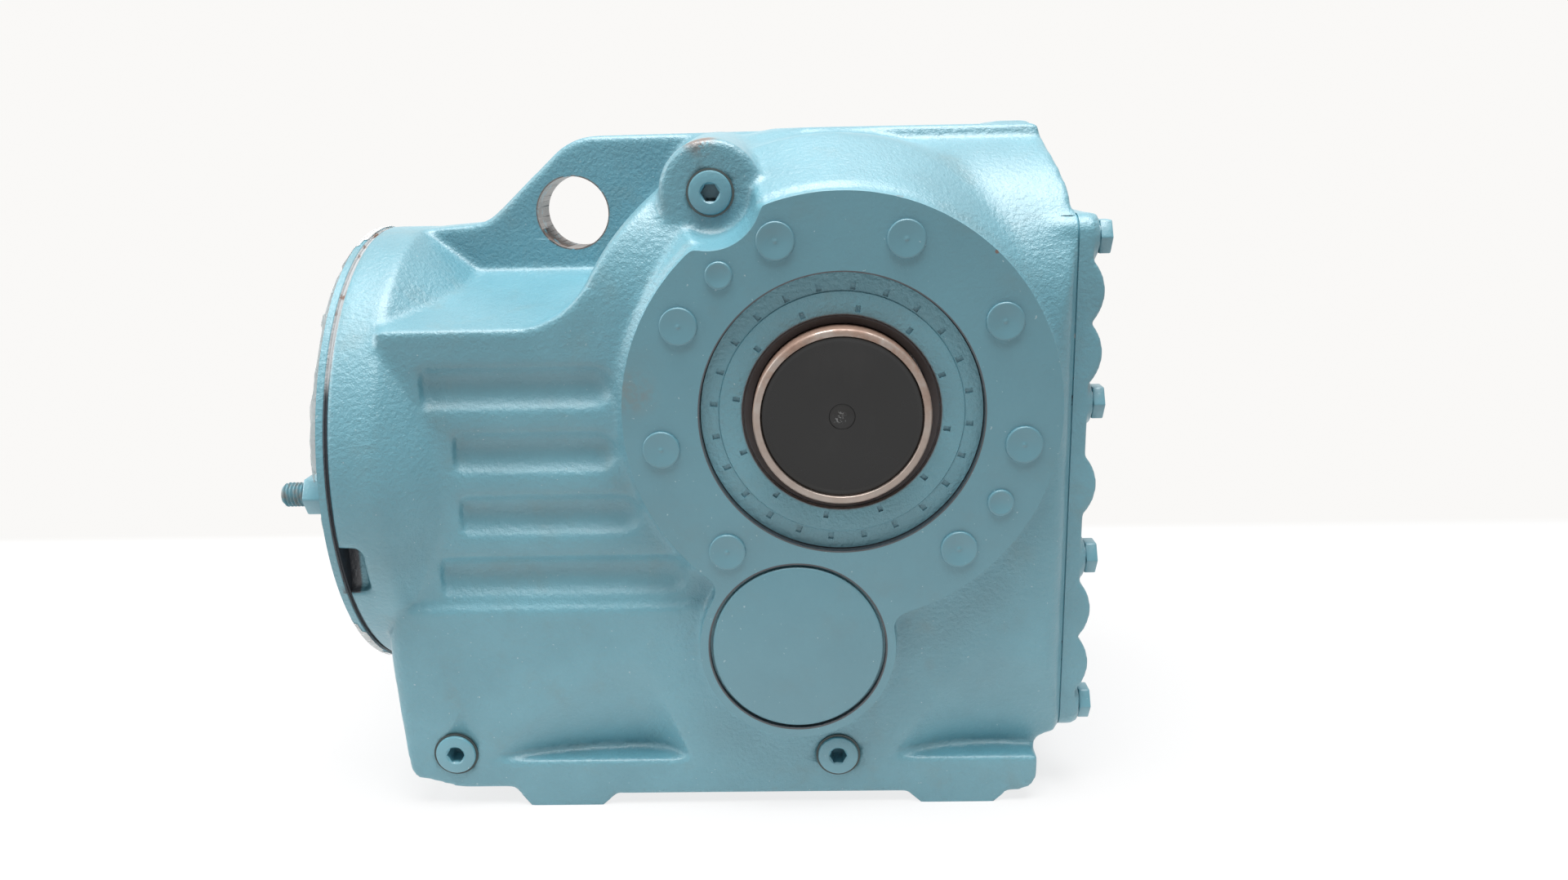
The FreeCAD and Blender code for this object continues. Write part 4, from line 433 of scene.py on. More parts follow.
def lip_rubber():
    """Dark rubber of the shaft seals, with a ragged edge of paint where it meets the painted ring."""
    finish = Finish("lip_rubber")
    tone = finish.mix(finish.noise(60, 5), *RUBBER)
    wavy = finish.math("MULTIPLY", finish.noise(260, 4, 0.7), 0.004)
    edge = finish.span(finish.math("ADD", finish.from_line(x=0, z=0), wavy), 0.0492, 0.0503)
    sprayed = finish.both(edge, finish.span(finish.axis("Y"), -0.1, -0.09, 0.8, 0.0))
    finish.put("Base Color", finish.mix(sprayed, tone, PAINT_DARK))
    finish.put("Roughness", finish.span(finish.noise(80, 3), 0.3, 0.7, 0.42, 0.6))
    finish.put("Normal", finish.bump(finish.noise(500, 3), 0.0004, 0.3))
    return finish.material


def masking_film():
    """Thin milky film, a little pink in patches."""
    finish = Finish("masking_film")
    tone = finish.mix(finish.noise(22, 4), *FILM_MILKY)
    tone = finish.mix(finish.span(finish.noise(14, 3), 0.52, 0.75, 0.0, 0.4), tone, FILM_PINK)
    finish.put("Base Color", tone)
    finish.put("Roughness", finish.span(finish.noise(50, 3), 0.3, 0.7, 0.20, 0.32))
    finish.put("Transmission Weight", 0.55)
    finish.put("IOR", 1.2)
    finish.put("Normal", finish.bump(finish.noise(45, 3, 0.5), 0.0016, 0.4))
    return finish.material


FINISHES = {
    "paint": paint("cast_paint", worn=True),
    "painted_screws": paint("screw_paint", grain=0.35),
    "painted_caps": paint("cap_paint", grain=0.3),
    "black_cap": black_cap(),
    "bare_shaft": rusty_hub(),
    "stud_steel": painted_thread(),
    "lip_rubber": lip_rubber(),
    "gasket": joint_gasket(),
    # The plugs' sealing rings get a dark metal, which draws a thin dark line round each plug head.
    "ring_copper": metal("ring_copper", (0.10, 0.12, 0.12), 0.55),
    "film": masking_film(),
    "gear_steel": metal("gear_steel", (0.50, 0.50, 0.51), 0.28),
    "bearing_steel": metal("bearing_steel", (0.62, 0.62, 0.63), 0.20),
}
for entry in frame["record"]["subparts"]:
    mesh = frame["nodes"][entry["node"]].data
    mesh.materials.clear()
    mesh.materials.append(FINISHES[entry["material_slot"]])


# Shapes


def add_bar(form, radius, begin, end, segments=48):
    """A round bar between two points."""
    run = end - begin
    turn = run.to_track_quat("Z", "Y").to_matrix().to_4x4()
    place = Matrix.Translation((begin + end) / 2) @ turn
    bmesh.ops.create_cone(form, cap_ends=True, segments=segments, radius1=radius * MM, radius2=radius * MM,
                          depth=run.length, matrix=place)


def add_block(form, low, high, turn=Matrix()):
    middle, size = (low + high) / 2, high - low
    place = turn @ Matrix.Translation(middle) @ Matrix.Diagonal((*size, 1))
    bmesh.ops.create_cube(form, size=1, matrix=place)


def add_turned(form, outline, centre, axis, steps=64, closed=False):
    """An outline of points, each its place along an axis and its radius, spun about the axis."""
    side = axis.orthogonal().normalized()
    line = [form.verts.new(centre + (axis * along + side * radius) * MM) for along, radius in outline]
    pairs = list(zip(line, line[1:])) + ([(line[-1], line[0])] if closed else [])
    edges = [form.edges.new(pair) for pair in pairs]
    bmesh.ops.spin(form, geom=line + edges, cent=centre, axis=axis, dvec=(0, 0, 0), angle=math.tau,
                   steps=steps, use_merge=True)


def add_hexagon(form, across, begin, end):
    """A hexagonal bar of a width across flats between two points, with a flat face up."""
    run = end - begin
    turn = run.to_track_quat("Z", "Y").to_matrix().to_4x4()
    place = Matrix.Translation((begin + end) / 2) @ turn @ Matrix.Rotation(math.radians(30), 4, "Z")
    radius = across / math.sqrt(3) * MM
    bmesh.ops.create_cone(form, cap_ends=True, segments=6, radius1=radius, radius2=radius, depth=run.length,
                          matrix=place)


def closed_up(form):
    """Merges the seams and turns every face outwards."""
    bmesh.ops.remove_doubles(form, verts=form.verts, dist=1e-7)
    bmesh.ops.recalc_face_normals(form, faces=form.faces)


def one_shape(kind, *args):
    form = bmesh.new()
    kind(form, *args)
    return form


def turned(*args):
    """One turned shape by itself, closed up."""
    form = one_shape(add_turned, *args)
    closed_up(form)
    return form


def round_edges(form, size, steps=2, sharper_than=28, near=None):
    edges = [edge for edge in form.edges
             if edge.is_manifold and edge.calc_face_angle() > math.radians(sharper_than)
             and (near is None or near(edge))]
    bmesh.ops.bevel(form, geom=edges, offset=size * MM, offset_type="OFFSET", affect="EDGES", segments=steps,
                    profile=0.5, clamp_overlap=True, material=-1)


def join(whole, part):
    """Adds one bmesh to another and lets go of it."""
    mesh = bpy.data.meshes.new("part")
    part.to_mesh(mesh)
    part.free()
    whole.from_mesh(mesh)
    bpy.data.meshes.remove(mesh)


def linked(name, mesh):
    piece = bpy.data.objects.new(name, mesh)
    bpy.context.scene.collection.objects.link(piece)
    return piece


def finished(name, form, slot, replaced=(), body="housing", sharp=32):
    """A new piece from a bmesh, shaded smooth between its sharp edges, riding on a body."""
    mesh = bpy.data.meshes.new(name)
    form.to_mesh(mesh)
    form.free()
    mesh.shade_smooth()
    mesh.set_sharp_from_angle(angle=math.radians(sharp))
    mesh.materials.append(FINISHES[slot])
    piece = linked(name, mesh)
    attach(piece, body)
    for node in replaced:
        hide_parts(node)
    return piece


def loose(name, form):
    """An object only used while another piece is being made."""
    bmesh.ops.recalc_face_normals(form, faces=form.faces)
    mesh = bpy.data.meshes.new(name)
    form.to_mesh(mesh)
    form.free()
    return linked(name, mesh)


def combine(base, tool, operation):
    step = base.modifiers.new(operation, "BOOLEAN")
    step.solver = "MANIFOLD"
    step.operation = operation
    step.object = tool


def settled(piece):
    """The piece's mesh with its modifiers worked in, and the piece itself taken away."""
    graph = bpy.context.evaluated_depsgraph_get()
    mesh = bpy.data.meshes.new_from_object(piece.evaluated_get(graph))
    discard(piece)
    return mesh


def discard(*pieces):
    for piece in pieces:
        mesh = piece.data
        bpy.data.objects.remove(piece)
        bpy.data.meshes.remove(mesh)


def taken(mesh):
    """A bmesh of a mesh that is no longer needed."""
    form = bmesh.new()
    form.from_mesh(mesh)
    bpy.data.meshes.remove(mesh)
    return form


def drilled(form, tools):
    """The form with the tools' shapes cut out of it, each tool a bmesh of its own."""
    body = loose("body", form)
    cutters = [loose("cutter", tool) for tool in tools]
    for cutter in cutters:
        combine(body, cutter, "DIFFERENCE")
    mesh = settled(body)
    discard(*cutters)
    return taken(mesh)


def copy_of(node):
    """The merged shape of a node, to work on."""
    form = bmesh.new()
    form.from_mesh(frame["nodes"][node].data)
    bmesh.ops.remove_doubles(form, verts=form.verts, dist=2e-6)
    return form


def on_circle(angle, y, radius=BOLT_CIRCLE_R):
    turn = math.radians(angle)
    return mm(radius * math.cos(turn), y, radius * math.sin(turn))


# Castings

STOCK = 4
FAR = 600
PATCH_MARGIN = 0.8
LEAST_HOLE = 100
BLEND_EDGE = 12
BLEND_STEPS = 140
BLENDS = (((10, -95, 62), (96, -50, 125)), ((10, 50, 62), (96, 95, 125)),
          ((-46, -46, 126), (-28, -26, 140)), ((-46, 26, 126), (-28, 46, 140)))

# Machined planes: axis, place, way out and, for the output faces, where on X they begin.
HOUSING_PLANES = ((Y, -FACE_Y, -1, DISC_LEFT), (Y, FACE_Y, 1, DISC_LEFT), (Z, BASE_Z, -1), (X, NECK_X, -1),
                  (X, PAD_X, 1))
COVER_PLANES = ((X, COVER_X, -1),)


def beyond(axis, place, outward, left=-FAR):
    """The block that lies past a machined plane, from a place on X rightwards."""
    low, high = [left, -FAR, -FAR], [FAR] * 3
    if outward > 0:
        low[axis] = place
    else:
        high[axis] = place
    return one_shape(add_block, mm(*low), mm(*high))


def without_slivers(mesh):
    """A bmesh of the mesh's loose pieces, less those that hold hardly any volume."""
    form = taken(mesh)
    left = set(form.verts)
    slivers = []
    while left:
        front = [left.pop()]
        island = set(front)
        while front:
            vert = front.pop()
            near = {edge.other_vert(vert) for edge in vert.link_edges} & left
            left -= near
            island |= near
            front += near
        faces = {face for vert in island for face in vert.link_faces}
        volume = sum(face.calc_area() * face.calc_center_median().dot(face.normal) for face in faces) / 3
        if volume < LEAST_HOLE * MM ** 3:
            slivers += island
    bmesh.ops.delete(form, geom=slivers, context="VERTS")
    return form


def blend_share(spot, box):
    """One inside a box and falling to nought within a short way outside it."""
    off = [max(low * MM - place, place - high * MM, 0) for place, low, high in zip(spot, *box)]
    return max(0.0, 1 - Vector(off).length / (BLEND_EDGE * MM))


def add_stock(form, planes):
    """Moves the machined planes out to where they stand on the raw casting."""
    for vert in form.verts:
        for axis, place, outward, *_ in planes:
            if abs(vert.co[axis] - place * MM) < 1e-5:
                vert.co[axis] += outward * STOCK * MM


def machined_out(solid, node, patchers):
    """What is cut out of the raw casting between its planes: all that is neither the node nor a patch."""
    holes = linked("holes", solid)
    machined = loose("machined", copy_of(node))
    for patcher in patchers:
        grow = patcher.modifiers.new("grow", "DISPLACE")
        grow.strength = PATCH_MARGIN * MM
        grow.mid_level = 0
    for tool in [machined] + patchers:
        combine(holes, tool, "DIFFERENCE")
    mesh = settled(holes)
    discard(machined, *patchers)
    return loose("holes", without_slivers(mesh))


def softened(solid, voxel, easing, blends):
    """The raw casting with its edges eased, and smoothed further where its forms blend."""
    soft = linked("soft", solid)
    grid = soft.modifiers.new("grid", "REMESH")
    grid.mode = "VOXEL"
    grid.voxel_size = voxel * MM
    soft = linked("soft", settled(soft))
    flowing = soft.vertex_groups.new(name="flowing")
    for vert in soft.data.vertices if blends else ():
        weight = max(blend_share(vert.co, box) for box in blends)
        if weight:
            flowing.add([vert.index], weight, "REPLACE")
    flow = soft.modifiers.new("flow", "SMOOTH")
    flow.factor = 0.5
    flow.iterations = BLEND_STEPS if blends else 0
    flow.vertex_group = "flowing"
    ease = soft.modifiers.new("ease", "SMOOTH")
    ease.factor = 0.5
    ease.iterations = easing
    return soft


def cast(name, node, planes, fills, cuts, voxel, easing, share, patches=(), scoops=(), blends=()):
    """A casting with soft edges all over, then machined: its planes cut flat and its holes cut crisp.

    The raw casting has its holes filled and stock left on the planes, so only cast edges are softened.
    Patches and scoops are filled in and hollowed out before that, and stay soft."""
    form = copy_of(node)
    add_stock(form, planes)
    raw = loose("raw", form)
    fillers = [loose("fill", fill) for fill in fills]
    patchers = [loose("patch", patch) for patch in patches]
    scoopers = [loose("scoop", scoop) for scoop in scoops]
    for tool in fillers + patchers:
        combine(raw, tool, "UNION")
    for tool in scoopers:
        combine(raw, tool, "DIFFERENCE")
    solid = settled(raw)
    discard(*fillers, *scoopers)
    holes = machined_out(solid.copy(), node, patchers)
    tools = [loose("cut", cut) for cut in cuts + [beyond(*plane) for plane in planes]]
    for tool in tools:
        combine(holes, tool, "UNION")
    soft = softened(solid, voxel, easing, blends)
    combine(soft, holes, "DIFFERENCE")
    thin = soft.modifiers.new("thin", "DECIMATE")
    thin.ratio = share
    mesh = settled(soft)
    discard(holes, *tools)
    piece = finished(name, taken(mesh), "paint", [node], sharp=40)
    for face in piece.data.polygons:
        spot, out = face.center, face.normal
        if any(abs(spot[axis] - place * MM) < 2e-5 and abs(out[axis]) > 0.999 for axis, place, *_ in planes):
            face.use_smooth = False


DRUM_ROOM_R, DRUM_ROOM_HALF = 120, 73
ROOMS = (((-224, -84, -198), (96, 84, -60)), ((-219, -80, -110), (-50, 80, 28)),
         ((70, -70, -154), (PAD_X + STOCK, 70, 68)))


def housing_fills():
    """What fills the housing's rooms and holes while it is only a casting."""
    out = FACE_Y + STOCK
    # Radius, ends and sides of a bar for the drum, the output, intermediate and input seats, and the lug.
    bars = [
        (DRUM_ROOM_R, (0, -DRUM_ROOM_HALF, 0), (0, DRUM_ROOM_HALF, 0), 96),
        (SEAL_R + 2, (0, -out, 0), (0, out, 0), 96),
        (45.5, (MID_X, -out, MID_Z), (MID_X, out, MID_Z), 96),
        (93, (NECK_X - STOCK, 0, INPUT_Z), (-203, 0, INPUT_Z), 96),
        (79, (-206, 0, INPUT_Z), (-188, 0, INPUT_Z), 96),
        (21, (LUG_X, -15, LUG_Z), (LUG_X, 15, LUG_Z), 48),
    ]
    bars += [(9.5, (x, y, z), (x, -62, z), 24) for x, y, z in PLUGS.values()]
    for side in (-1, 1):
        for x in FOOT_HOLES_X:
            y = side * FOOT_HOLES_Y
            bars.append((9, (x, y, BASE_Z - STOCK), (x, y, -188), 24))
        for z in COVER_ROWS:
            bars.append((6, (95, side * COVER_SIDE, z), (PAD_X + STOCK, side * COVER_SIDE, z), 24))
        bars.append((8, (NECK_X - STOCK, side * STUD_Y, INPUT_Z), (-222, side * STUD_Y, INPUT_Z), 24))
    fills = [one_shape(add_bar, radius, mm(*begin), mm(*end), count) for radius, begin, end, count in bars]
    for side in (-1, 1):
        for angle in BOLT_ANGLES + DOWEL_ANGLES:
            fills.append(one_shape(add_bar, 7, on_circle(angle, side * 88), on_circle(angle, side * out), 24))
    fills += [one_shape(add_block, mm(*low), mm(*high)) for low, high in ROOMS]
    return fills


def housing_cuts():
    """Holes that run right out through a soft surface."""
    cuts = [one_shape(add_bar, LUG_R, mm(LUG_X, -25, LUG_Z), mm(LUG_X, 25, LUG_Z), 64)]
    for x, y, z in PLUGS.values():
        cuts.append(one_shape(add_bar, 8.2, mm(x, y - 8, z), mm(x, y + 8, z), 32))
    return cuts


# The flank with the grooves stands nearly flush with the wall below it. Its section has points of (y, z).
WALL_Y = 104
FLANK_Y = 101
FLANK_LOW, FLANK_HIGH = -100, 41.5
FLANK_LEFT, FLANK_RIGHT = -224.5, -18
FLANK_SECTION = ((78, -134), (WALL_Y - 0.1, -134), (WALL_Y - 0.1, -130), (FLANK_Y, FLANK_LOW),
                 (FLANK_Y, FLANK_HIGH), (12, 62.2), (12, 56), (78, 36))
SHOULDER_R, SHOULDER_LOW = 80, 30
CREASE_R, CREASE_BLEND = 136.5, 45
TOP_Z = 133.8
GROOVE_R, GROOVE_DEPTH = 14, 5.5
GROOVES_Z = (13, -19.4, -51.8, -84.2)
GROOVE_END_R = 121.8
FLARE = ((-224, 95), (-224, 122.4), (-193, 98), (-193, 95))
FLARE_LEAN = 31 / 24.4


def arc(begin, end, radius, steps=16):
    """Points of a plane arc, without its first, that bulges to the right of its way."""
    begin, end = Vector(begin), Vector(end)
    half = (end - begin) / 2
    across = Vector((-half.y, half.x)).normalized()
    centre = begin + half + across * math.copysign(math.sqrt(radius ** 2 - half.length_squared), radius)
    spoke = begin - centre
    whole = spoke.angle_signed(end - centre)
    turns = [Matrix.Rotation(-whole * step / steps, 2) for step in range(1, steps + 1)]
    return [tuple(centre + turn @ spoke) for turn in turns]


def add_prism(form, outline, axis, low, high):
    """An outline in the two other axes, pushed along one axis from low to high."""
    def spot(first, second):
        place = [first, second]
        place.insert(axis, low)
        return mm(*place)

    face = form.faces.new([form.verts.new(spot(*point)) for point in outline])
    pushed = bmesh.ops.extrude_face_region(form, geom=[face])
    way = Vector((0, 0, 0))
    way[axis] = (high - low) * MM
    moved = [part for part in pushed["geom"] if isinstance(part, bmesh.types.BMVert)]
    bmesh.ops.translate(form, verts=moved, vec=way)
    bmesh.ops.recalc_face_normals(form, faces=form.faces)


def shoulder_patch():
    """The curved shoulder between the flanks and the ridge, as far as the round crease beside the drum."""
    half = FLANK_Y - 0.1
    side = [(half, FLANK_HIGH)] + arc((half, FLANK_HIGH), (36, 127), SHOULDER_R) + [(34, TOP_Z)]
    mirrored = [(-y, z) for y, z in reversed(side)]
    section = [(half, SHOULDER_LOW)] + side + mirrored + [(-half, SHOULDER_LOW)]
    far = math.sqrt((CREASE_R + CREASE_BLEND) ** 2 - (FLANK_HIGH + CREASE_BLEND) ** 2)
    share = CREASE_R / (CREASE_R + CREASE_BLEND)
    top = (-math.sqrt(CREASE_R ** 2 - TOP_Z ** 2), TOP_Z)
    turn = (-far * share, (FLANK_HIGH + CREASE_BLEND) * share)
    crease = [(-1, SHOULDER_LOW), (-1, TOP_Z), top] + arc(top, turn, CREASE_R)
    crease += arc(turn, (-far, FLANK_HIGH), -CREASE_BLEND) + [(-far, SHOULDER_LOW)]
    body = loose("body", one_shape(add_prism, section, X, -170, -1.5))
    limit = loose("limit", one_shape(add_prism, crease, Y, -FLANK_Y - 1, FLANK_Y + 1))
    ends = [mm(0, y, 0) for y in (-DRUM_ROOM_HALF - 0.2, DRUM_ROOM_HALF + 0.2)]
    room = loose("room", one_shape(add_bar, DRUM_ROOM_R + 0.2, *ends, 96))
    combine(body, limit, "INTERSECT")
    combine(body, room, "DIFFERENCE")
    mesh = settled(body)
    discard(limit, room)
    return taken(mesh)


LUG_ROUND_X, LUG_ROUND_Z, LUG_ROUND_R = -126.7, 98, 34
LUG_WEDGE = ((LUG_ROUND_X, LUG_ROUND_Z), (LUG_ROUND_X, 142), (-160, 142), (-163.1, 137.9))


def lug_corner():
    """What is taken off the lug's upper corner to round it."""
    ends = [mm(LUG_ROUND_X, y, LUG_ROUND_Z) for y in (-30, 30)]
    round_bar = one_shape(add_bar, LUG_ROUND_R, *ends, 128)
    return drilled(one_shape(add_prism, LUG_WEDGE, Y, -20, 20), [round_bar])


def flank_shapes():
    """What brings the grooved flanks out, and the grooves that are cut into them."""
    flare = turned(FLARE, mm(0, 0, INPUT_Z), X_AXIS, 128, True)
    rooms = [one_shape(add_block, mm(*low), mm(*high)) for low, high in ROOMS[:2]]
    patches = [shoulder_patch(), drilled(flare, rooms)]
    scoops = [lug_corner()]
    for side in (-1, 1):
        section = [(side * y, z) for y, z in FLANK_SECTION]
        patches.append(one_shape(add_prism, section, X, FLANK_LEFT, FLANK_RIGHT))
        for z in GROOVES_Z:
            y = side * (FLANK_Y - GROOVE_DEPTH + GROOVE_R)
            end = mm(-math.sqrt(GROOVE_END_R ** 2 - z ** 2), y, z)
            out = math.hypot(FLANK_Y - GROOVE_DEPTH, z - INPUT_Z)
            begin = mm(FLARE[1][0] + (FLARE[1][1] - out) * FLARE_LEAN, y, z)
            scoops.append(one_shape(add_bar, GROOVE_R, begin, end, 64))
            tip = bmesh.new()
            bmesh.ops.create_uvsphere(tip, u_segments=48, v_segments=24, radius=GROOVE_R * 1.001 * MM)
            bmesh.ops.translate(tip, verts=tip.verts, vec=end)
            scoops.append(tip)
    return patches, scoops


# Hollows above the feet: middle on X, reach to the left and right, height and depth.
FOOT_TOP = BASE_Z + 26
HOLLOWS = ((-106, 82, 27, 58, 15), (75, 52, 95, 62, 15))
HOLLOW_PATCHES = (((-192, WALL_Y - 0.1), (-77, -122)), ((20, WALL_Y - 0.1), (99, -146)))
HOLLOW_AXIS = 100


def add_hollow(form, side, x, left, right, tall, deep):
    """A round taper with its axis in front of the wall: it bites in at the foot and fades out above."""
    steps = 14
    shares = [1 - step / steps for step in range(steps + 1)]
    curve = [((1 - share) * tall, HOLLOW_AXIS + deep * share ** 1.5) for share in shares]
    add_turned(form, [(0, 0)] + curve + [(tall, 0)], Vector(), Z_AXIS, 160)
    closed_up(form)
    half = math.sqrt((HOLLOW_AXIS + deep) ** 2 - HOLLOW_AXIS ** 2)
    for vert in form.verts:
        wide = left if vert.co.x < 0 else right
        vert.co.x = vert.co.x * wide / half + x * MM
        vert.co.y += side * (WALL_Y + HOLLOW_AXIS) * MM
        vert.co.z += (FOOT_TOP + 0.1) * MM


def foot_hollows():
    """What fills the plain hollows above the feet, and the rounded ones that take their place."""
    patches = []
    scoops = []
    for side in (-1, 1):
        for (left, y), (right, high) in HOLLOW_PATCHES:
            inner, outer = sorted((side * 85, side * y))
            patches.append(one_shape(add_block, mm(left, inner, FOOT_TOP - 1), mm(right, outer, high)))
        scoops += [one_shape(add_hollow, side, *hollow) for hollow in HOLLOWS]
    return patches, scoops


BOSS_POCKET = ((0.1, 0), (0.1, 19.5), (25, 25.5), (45, 31), (45, 0))


def boss_pocket(side):
    """The round tapering pocket that the filler boss's seat, or its twin at the back, sinks into the drum."""
    x, y, z = PLUGS["filler_plug"]
    return turned(BOSS_POCKET, mm(x, -side * y, z), Y_AXIS * side, 96)


COVER_FILL_R, COVER_HOLE_R, COVER_SPOT_R = 7, 5.5, 9.6


def add_castings():
    patches, scoops = flank_shapes()
    more_patches, more_scoops = foot_hollows()
    pockets = [boss_pocket(side) for side in (-1, 1)]
    cast("cast_housing", "housing", HOUSING_PLANES, housing_fills(), housing_cuts(), voxel=1.7, easing=9,
         share=0.5, patches=patches + more_patches, scoops=scoops + more_scoops + pockets, blends=BLENDS)
    fills = []
    cuts = []
    for spot in [mm(0, side * COVER_SIDE, z) for side in (-1, 1) for z in COVER_ROWS]:
        seat = spot + mm(COVER_SEAT_X, 0, 0)
        fills.append(one_shape(add_bar, COVER_FILL_R, spot + mm(COVER_X, 0, 0), seat, 24))
        cuts.append(one_shape(add_bar, COVER_HOLE_R, spot + mm(COVER_X - 2, 0, 0), seat + mm(4, 0, 0), 24))
        cuts.append(one_shape(add_bar, COVER_SPOT_R, seat - mm(0.4, 0, 0), seat + mm(9, 0, 0), 32))
    cast("cast_side_cover", "side_cover", COVER_PLANES, fills, cuts, voxel=1.2, easing=7, share=0.6)


def add_machined():
    """Turned pieces with their sharp edges broken."""
    for name, node, slot, size, body, lowest in (
            ("shaft_with_bore", "output_shaft", "bare_shaft", 0.62, "output_shaft", 118.5),
            ("closing_discs", "closing_caps", "paint", 0.35, "housing", 113)):
        form = copy_of(node)
        bmesh.ops.dissolve_limit(form, angle_limit=math.radians(0.5), verts=form.verts, edges=form.edges)
        round_edges(form, size, 3, near=lambda edge: all(abs(vert.co.y) > lowest * MM for vert in edge.verts))
        finished(name, form, slot, [node], body)


# Fastenings

BOLT_HEX, NUT_HEX = 16, 18
WASHER_R = 7.6
SHANK_R, SHANK_END = 4.2, 98
NUT_HEIGHT = 10.8


def add_cover_bolts():
    """Hexagon bolts of the side cover, each with its washer face and shank."""
    form = bmesh.new()
    for side in (-1, 1):
        for z in COVER_ROWS:
            y = side * COVER_SIDE
            head = bmesh.new()
            add_hexagon(head, BOLT_HEX, mm(COVER_SEAT_X + 0.5, y, z), mm(COVER_SEAT_X + 6.4, y, z))
            round_edges(head, 0.7)
            add_bar(head, WASHER_R, mm(COVER_SEAT_X - 0.4, y, z), mm(COVER_SEAT_X + 0.7, y, z), 32)
            add_bar(head, SHANK_R, mm(SHANK_END, y, z), mm(COVER_SEAT_X, y, z), 24)
            join(form, head)
    closed_up(form)
    finished("cover_bolts", form, "painted_screws", ["side_cover_bolts"])


THREAD_PITCH = 1.75
THREAD_DEPTH = 0.61


def add_thread(form, radius, pitch, begin, end, centre):
    """A screw thread along X: a tooth line swept round by one pitch a turn, then cut square at both ends."""
    root = radius - THREAD_DEPTH * pitch
    tooth = ((0, root), (0.2, root), (0.55, radius), (0.68, radius))
    turns = int((end - begin) / pitch) + 3
    line = [form.verts.new(centre + mm(begin + (turn - 2 + along) * pitch, 0, out))
            for turn in range(turns + 1) for along, out in tooth]
    edges = [form.edges.new(pair) for pair in zip(line, line[1:])]
    steps = 40
    bmesh.ops.spin(form, geom=line + edges, cent=centre, axis=X_AXIS, dvec=X_AXIS * pitch / steps * MM,
                   angle=math.tau, steps=steps)
    bmesh.ops.remove_doubles(form, verts=form.verts, dist=2e-6)
    for x, outward in ((begin, -1), (end, 1)):
        bmesh.ops.bisect_plane(form, geom=form.verts[:] + form.edges[:] + form.faces[:], dist=1e-7,
                               plane_co=centre + mm(x, 0, 0), plane_no=X_AXIS * outward, clear_outer=True)
    bmesh.ops.holes_fill(form, edges=[edge for edge in form.edges if edge.is_boundary])


def add_studs():
    """Threaded studs of the input side with their nuts."""
    studs = bmesh.new()
    nuts = bmesh.new()
    for side in (-1, 1):
        centre = mm(0, side * STUD_Y, INPUT_Z)
        one = bmesh.new()
        add_thread(one, STUD_R, THREAD_PITCH, STUD_END, PLATE_X + 2, centre)
        for vert in one.verts:
            out = (vert.co - centre) * Vector((0, 1, 1))
            most = (STUD_R - 1.5) * MM + (vert.co.x - STUD_END * MM)
            if out.length > most:
                vert.co -= out * (1 - most / out.length)
        add_bar(one, STUD_R - 0.2, centre + mm(PLATE_X + 2, 0, 0), centre + mm(STUD_ROOT, 0, 0), 32)
        bmesh.ops.recalc_face_normals(one, faces=one.faces)
        nut = bmesh.new()
        add_hexagon(nut, NUT_HEX, centre + mm(PLATE_X - NUT_HEIGHT, 0, 0), centre + mm(PLATE_X, 0, 0))
        round_edges(nut, 0.9)
        bmesh.ops.triangulate(nut, faces=nut.faces)
        bore_ends = [centre + mm(x, 0, 0) for x in (PLATE_X - 14, PLATE_X + 3)]
        bore = one_shape(add_bar, STUD_R - 0.3, *bore_ends)
        join(studs, one)
        join(nuts, drilled(nut, [bore]))
    finished("threaded_studs", studs, "stud_steel", ["input_studs"])
    finished("stud_nuts", nuts, "painted_screws", ["input_nuts"])


PLUG_HEAD = ((-2.6, 0), (-2.6, 9.5), (-2.3, 10.1), (-1.7, 10.4), (-1, 10.4), (-1, 8), (15, 8), (15, 0))
PLUG_SINK = ((-4, 0), (-4, 6.4), (-1.6, 4), (-1.6, 0))
PLUG_SOCKET = 8


def add_plugs():
    """Screw plugs with a rounded head and a countersunk hexagon socket."""
    for name, place in PLUGS.items():
        centre = mm(*place)
        head = turned(PLUG_HEAD, centre, Y_AXIS, 56)
        sink = turned(PLUG_SINK, centre, Y_AXIS, 48)
        socket = one_shape(add_hexagon, PLUG_SOCKET, centre + mm(0, -5, 0), centre + mm(0, 8, 0))
        finished("socket_" + name, drilled(head, [sink, socket]), "painted_screws", [name])


# Caps, seals and shaft end

HOLE_CAP_R = 9
DOWEL_CAP_R = 6.5
CAP_RISE = 1.6
CAP_DISHES = (0.9, 0.55, 1.0, 0.6, 0.55, 0.7, 0.9, 0.65)


def hole_cap_outline(dish):
    """The section of a hole's cap, from its stem over its rim to the pip in its dish."""
    r = HOLE_CAP_R
    low = dish - CAP_RISE
    rim = [(0, r), (-1.0, r), (-1.4, r - 0.15), (-CAP_RISE, r - 0.5), (-1.55, r - 1.0)]
    hollow = [(0.3 * low - 1.05, 0.62 * r), (0.8 * low - 0.3, 0.4 * r), (low, 0.2 * r)]
    pip = [(low, 0.9), (low - 0.3, 0.6), (low - 0.3, 0)]
    return [(8, 0), (8, 5), (0, 5)] + rim + hollow + pip


def dowel_cap_outline():
    r = DOWEL_CAP_R
    rim = [(0, r), (-0.9, r), (-1.4, r - 0.2), (-CAP_RISE, r - 0.6), (-1.5, r - 1.4), (-1.15, r - 2.2)]
    return [(8, 0), (8, 3.9), (0, 3.9)] + rim + [(-1.1, 0)]


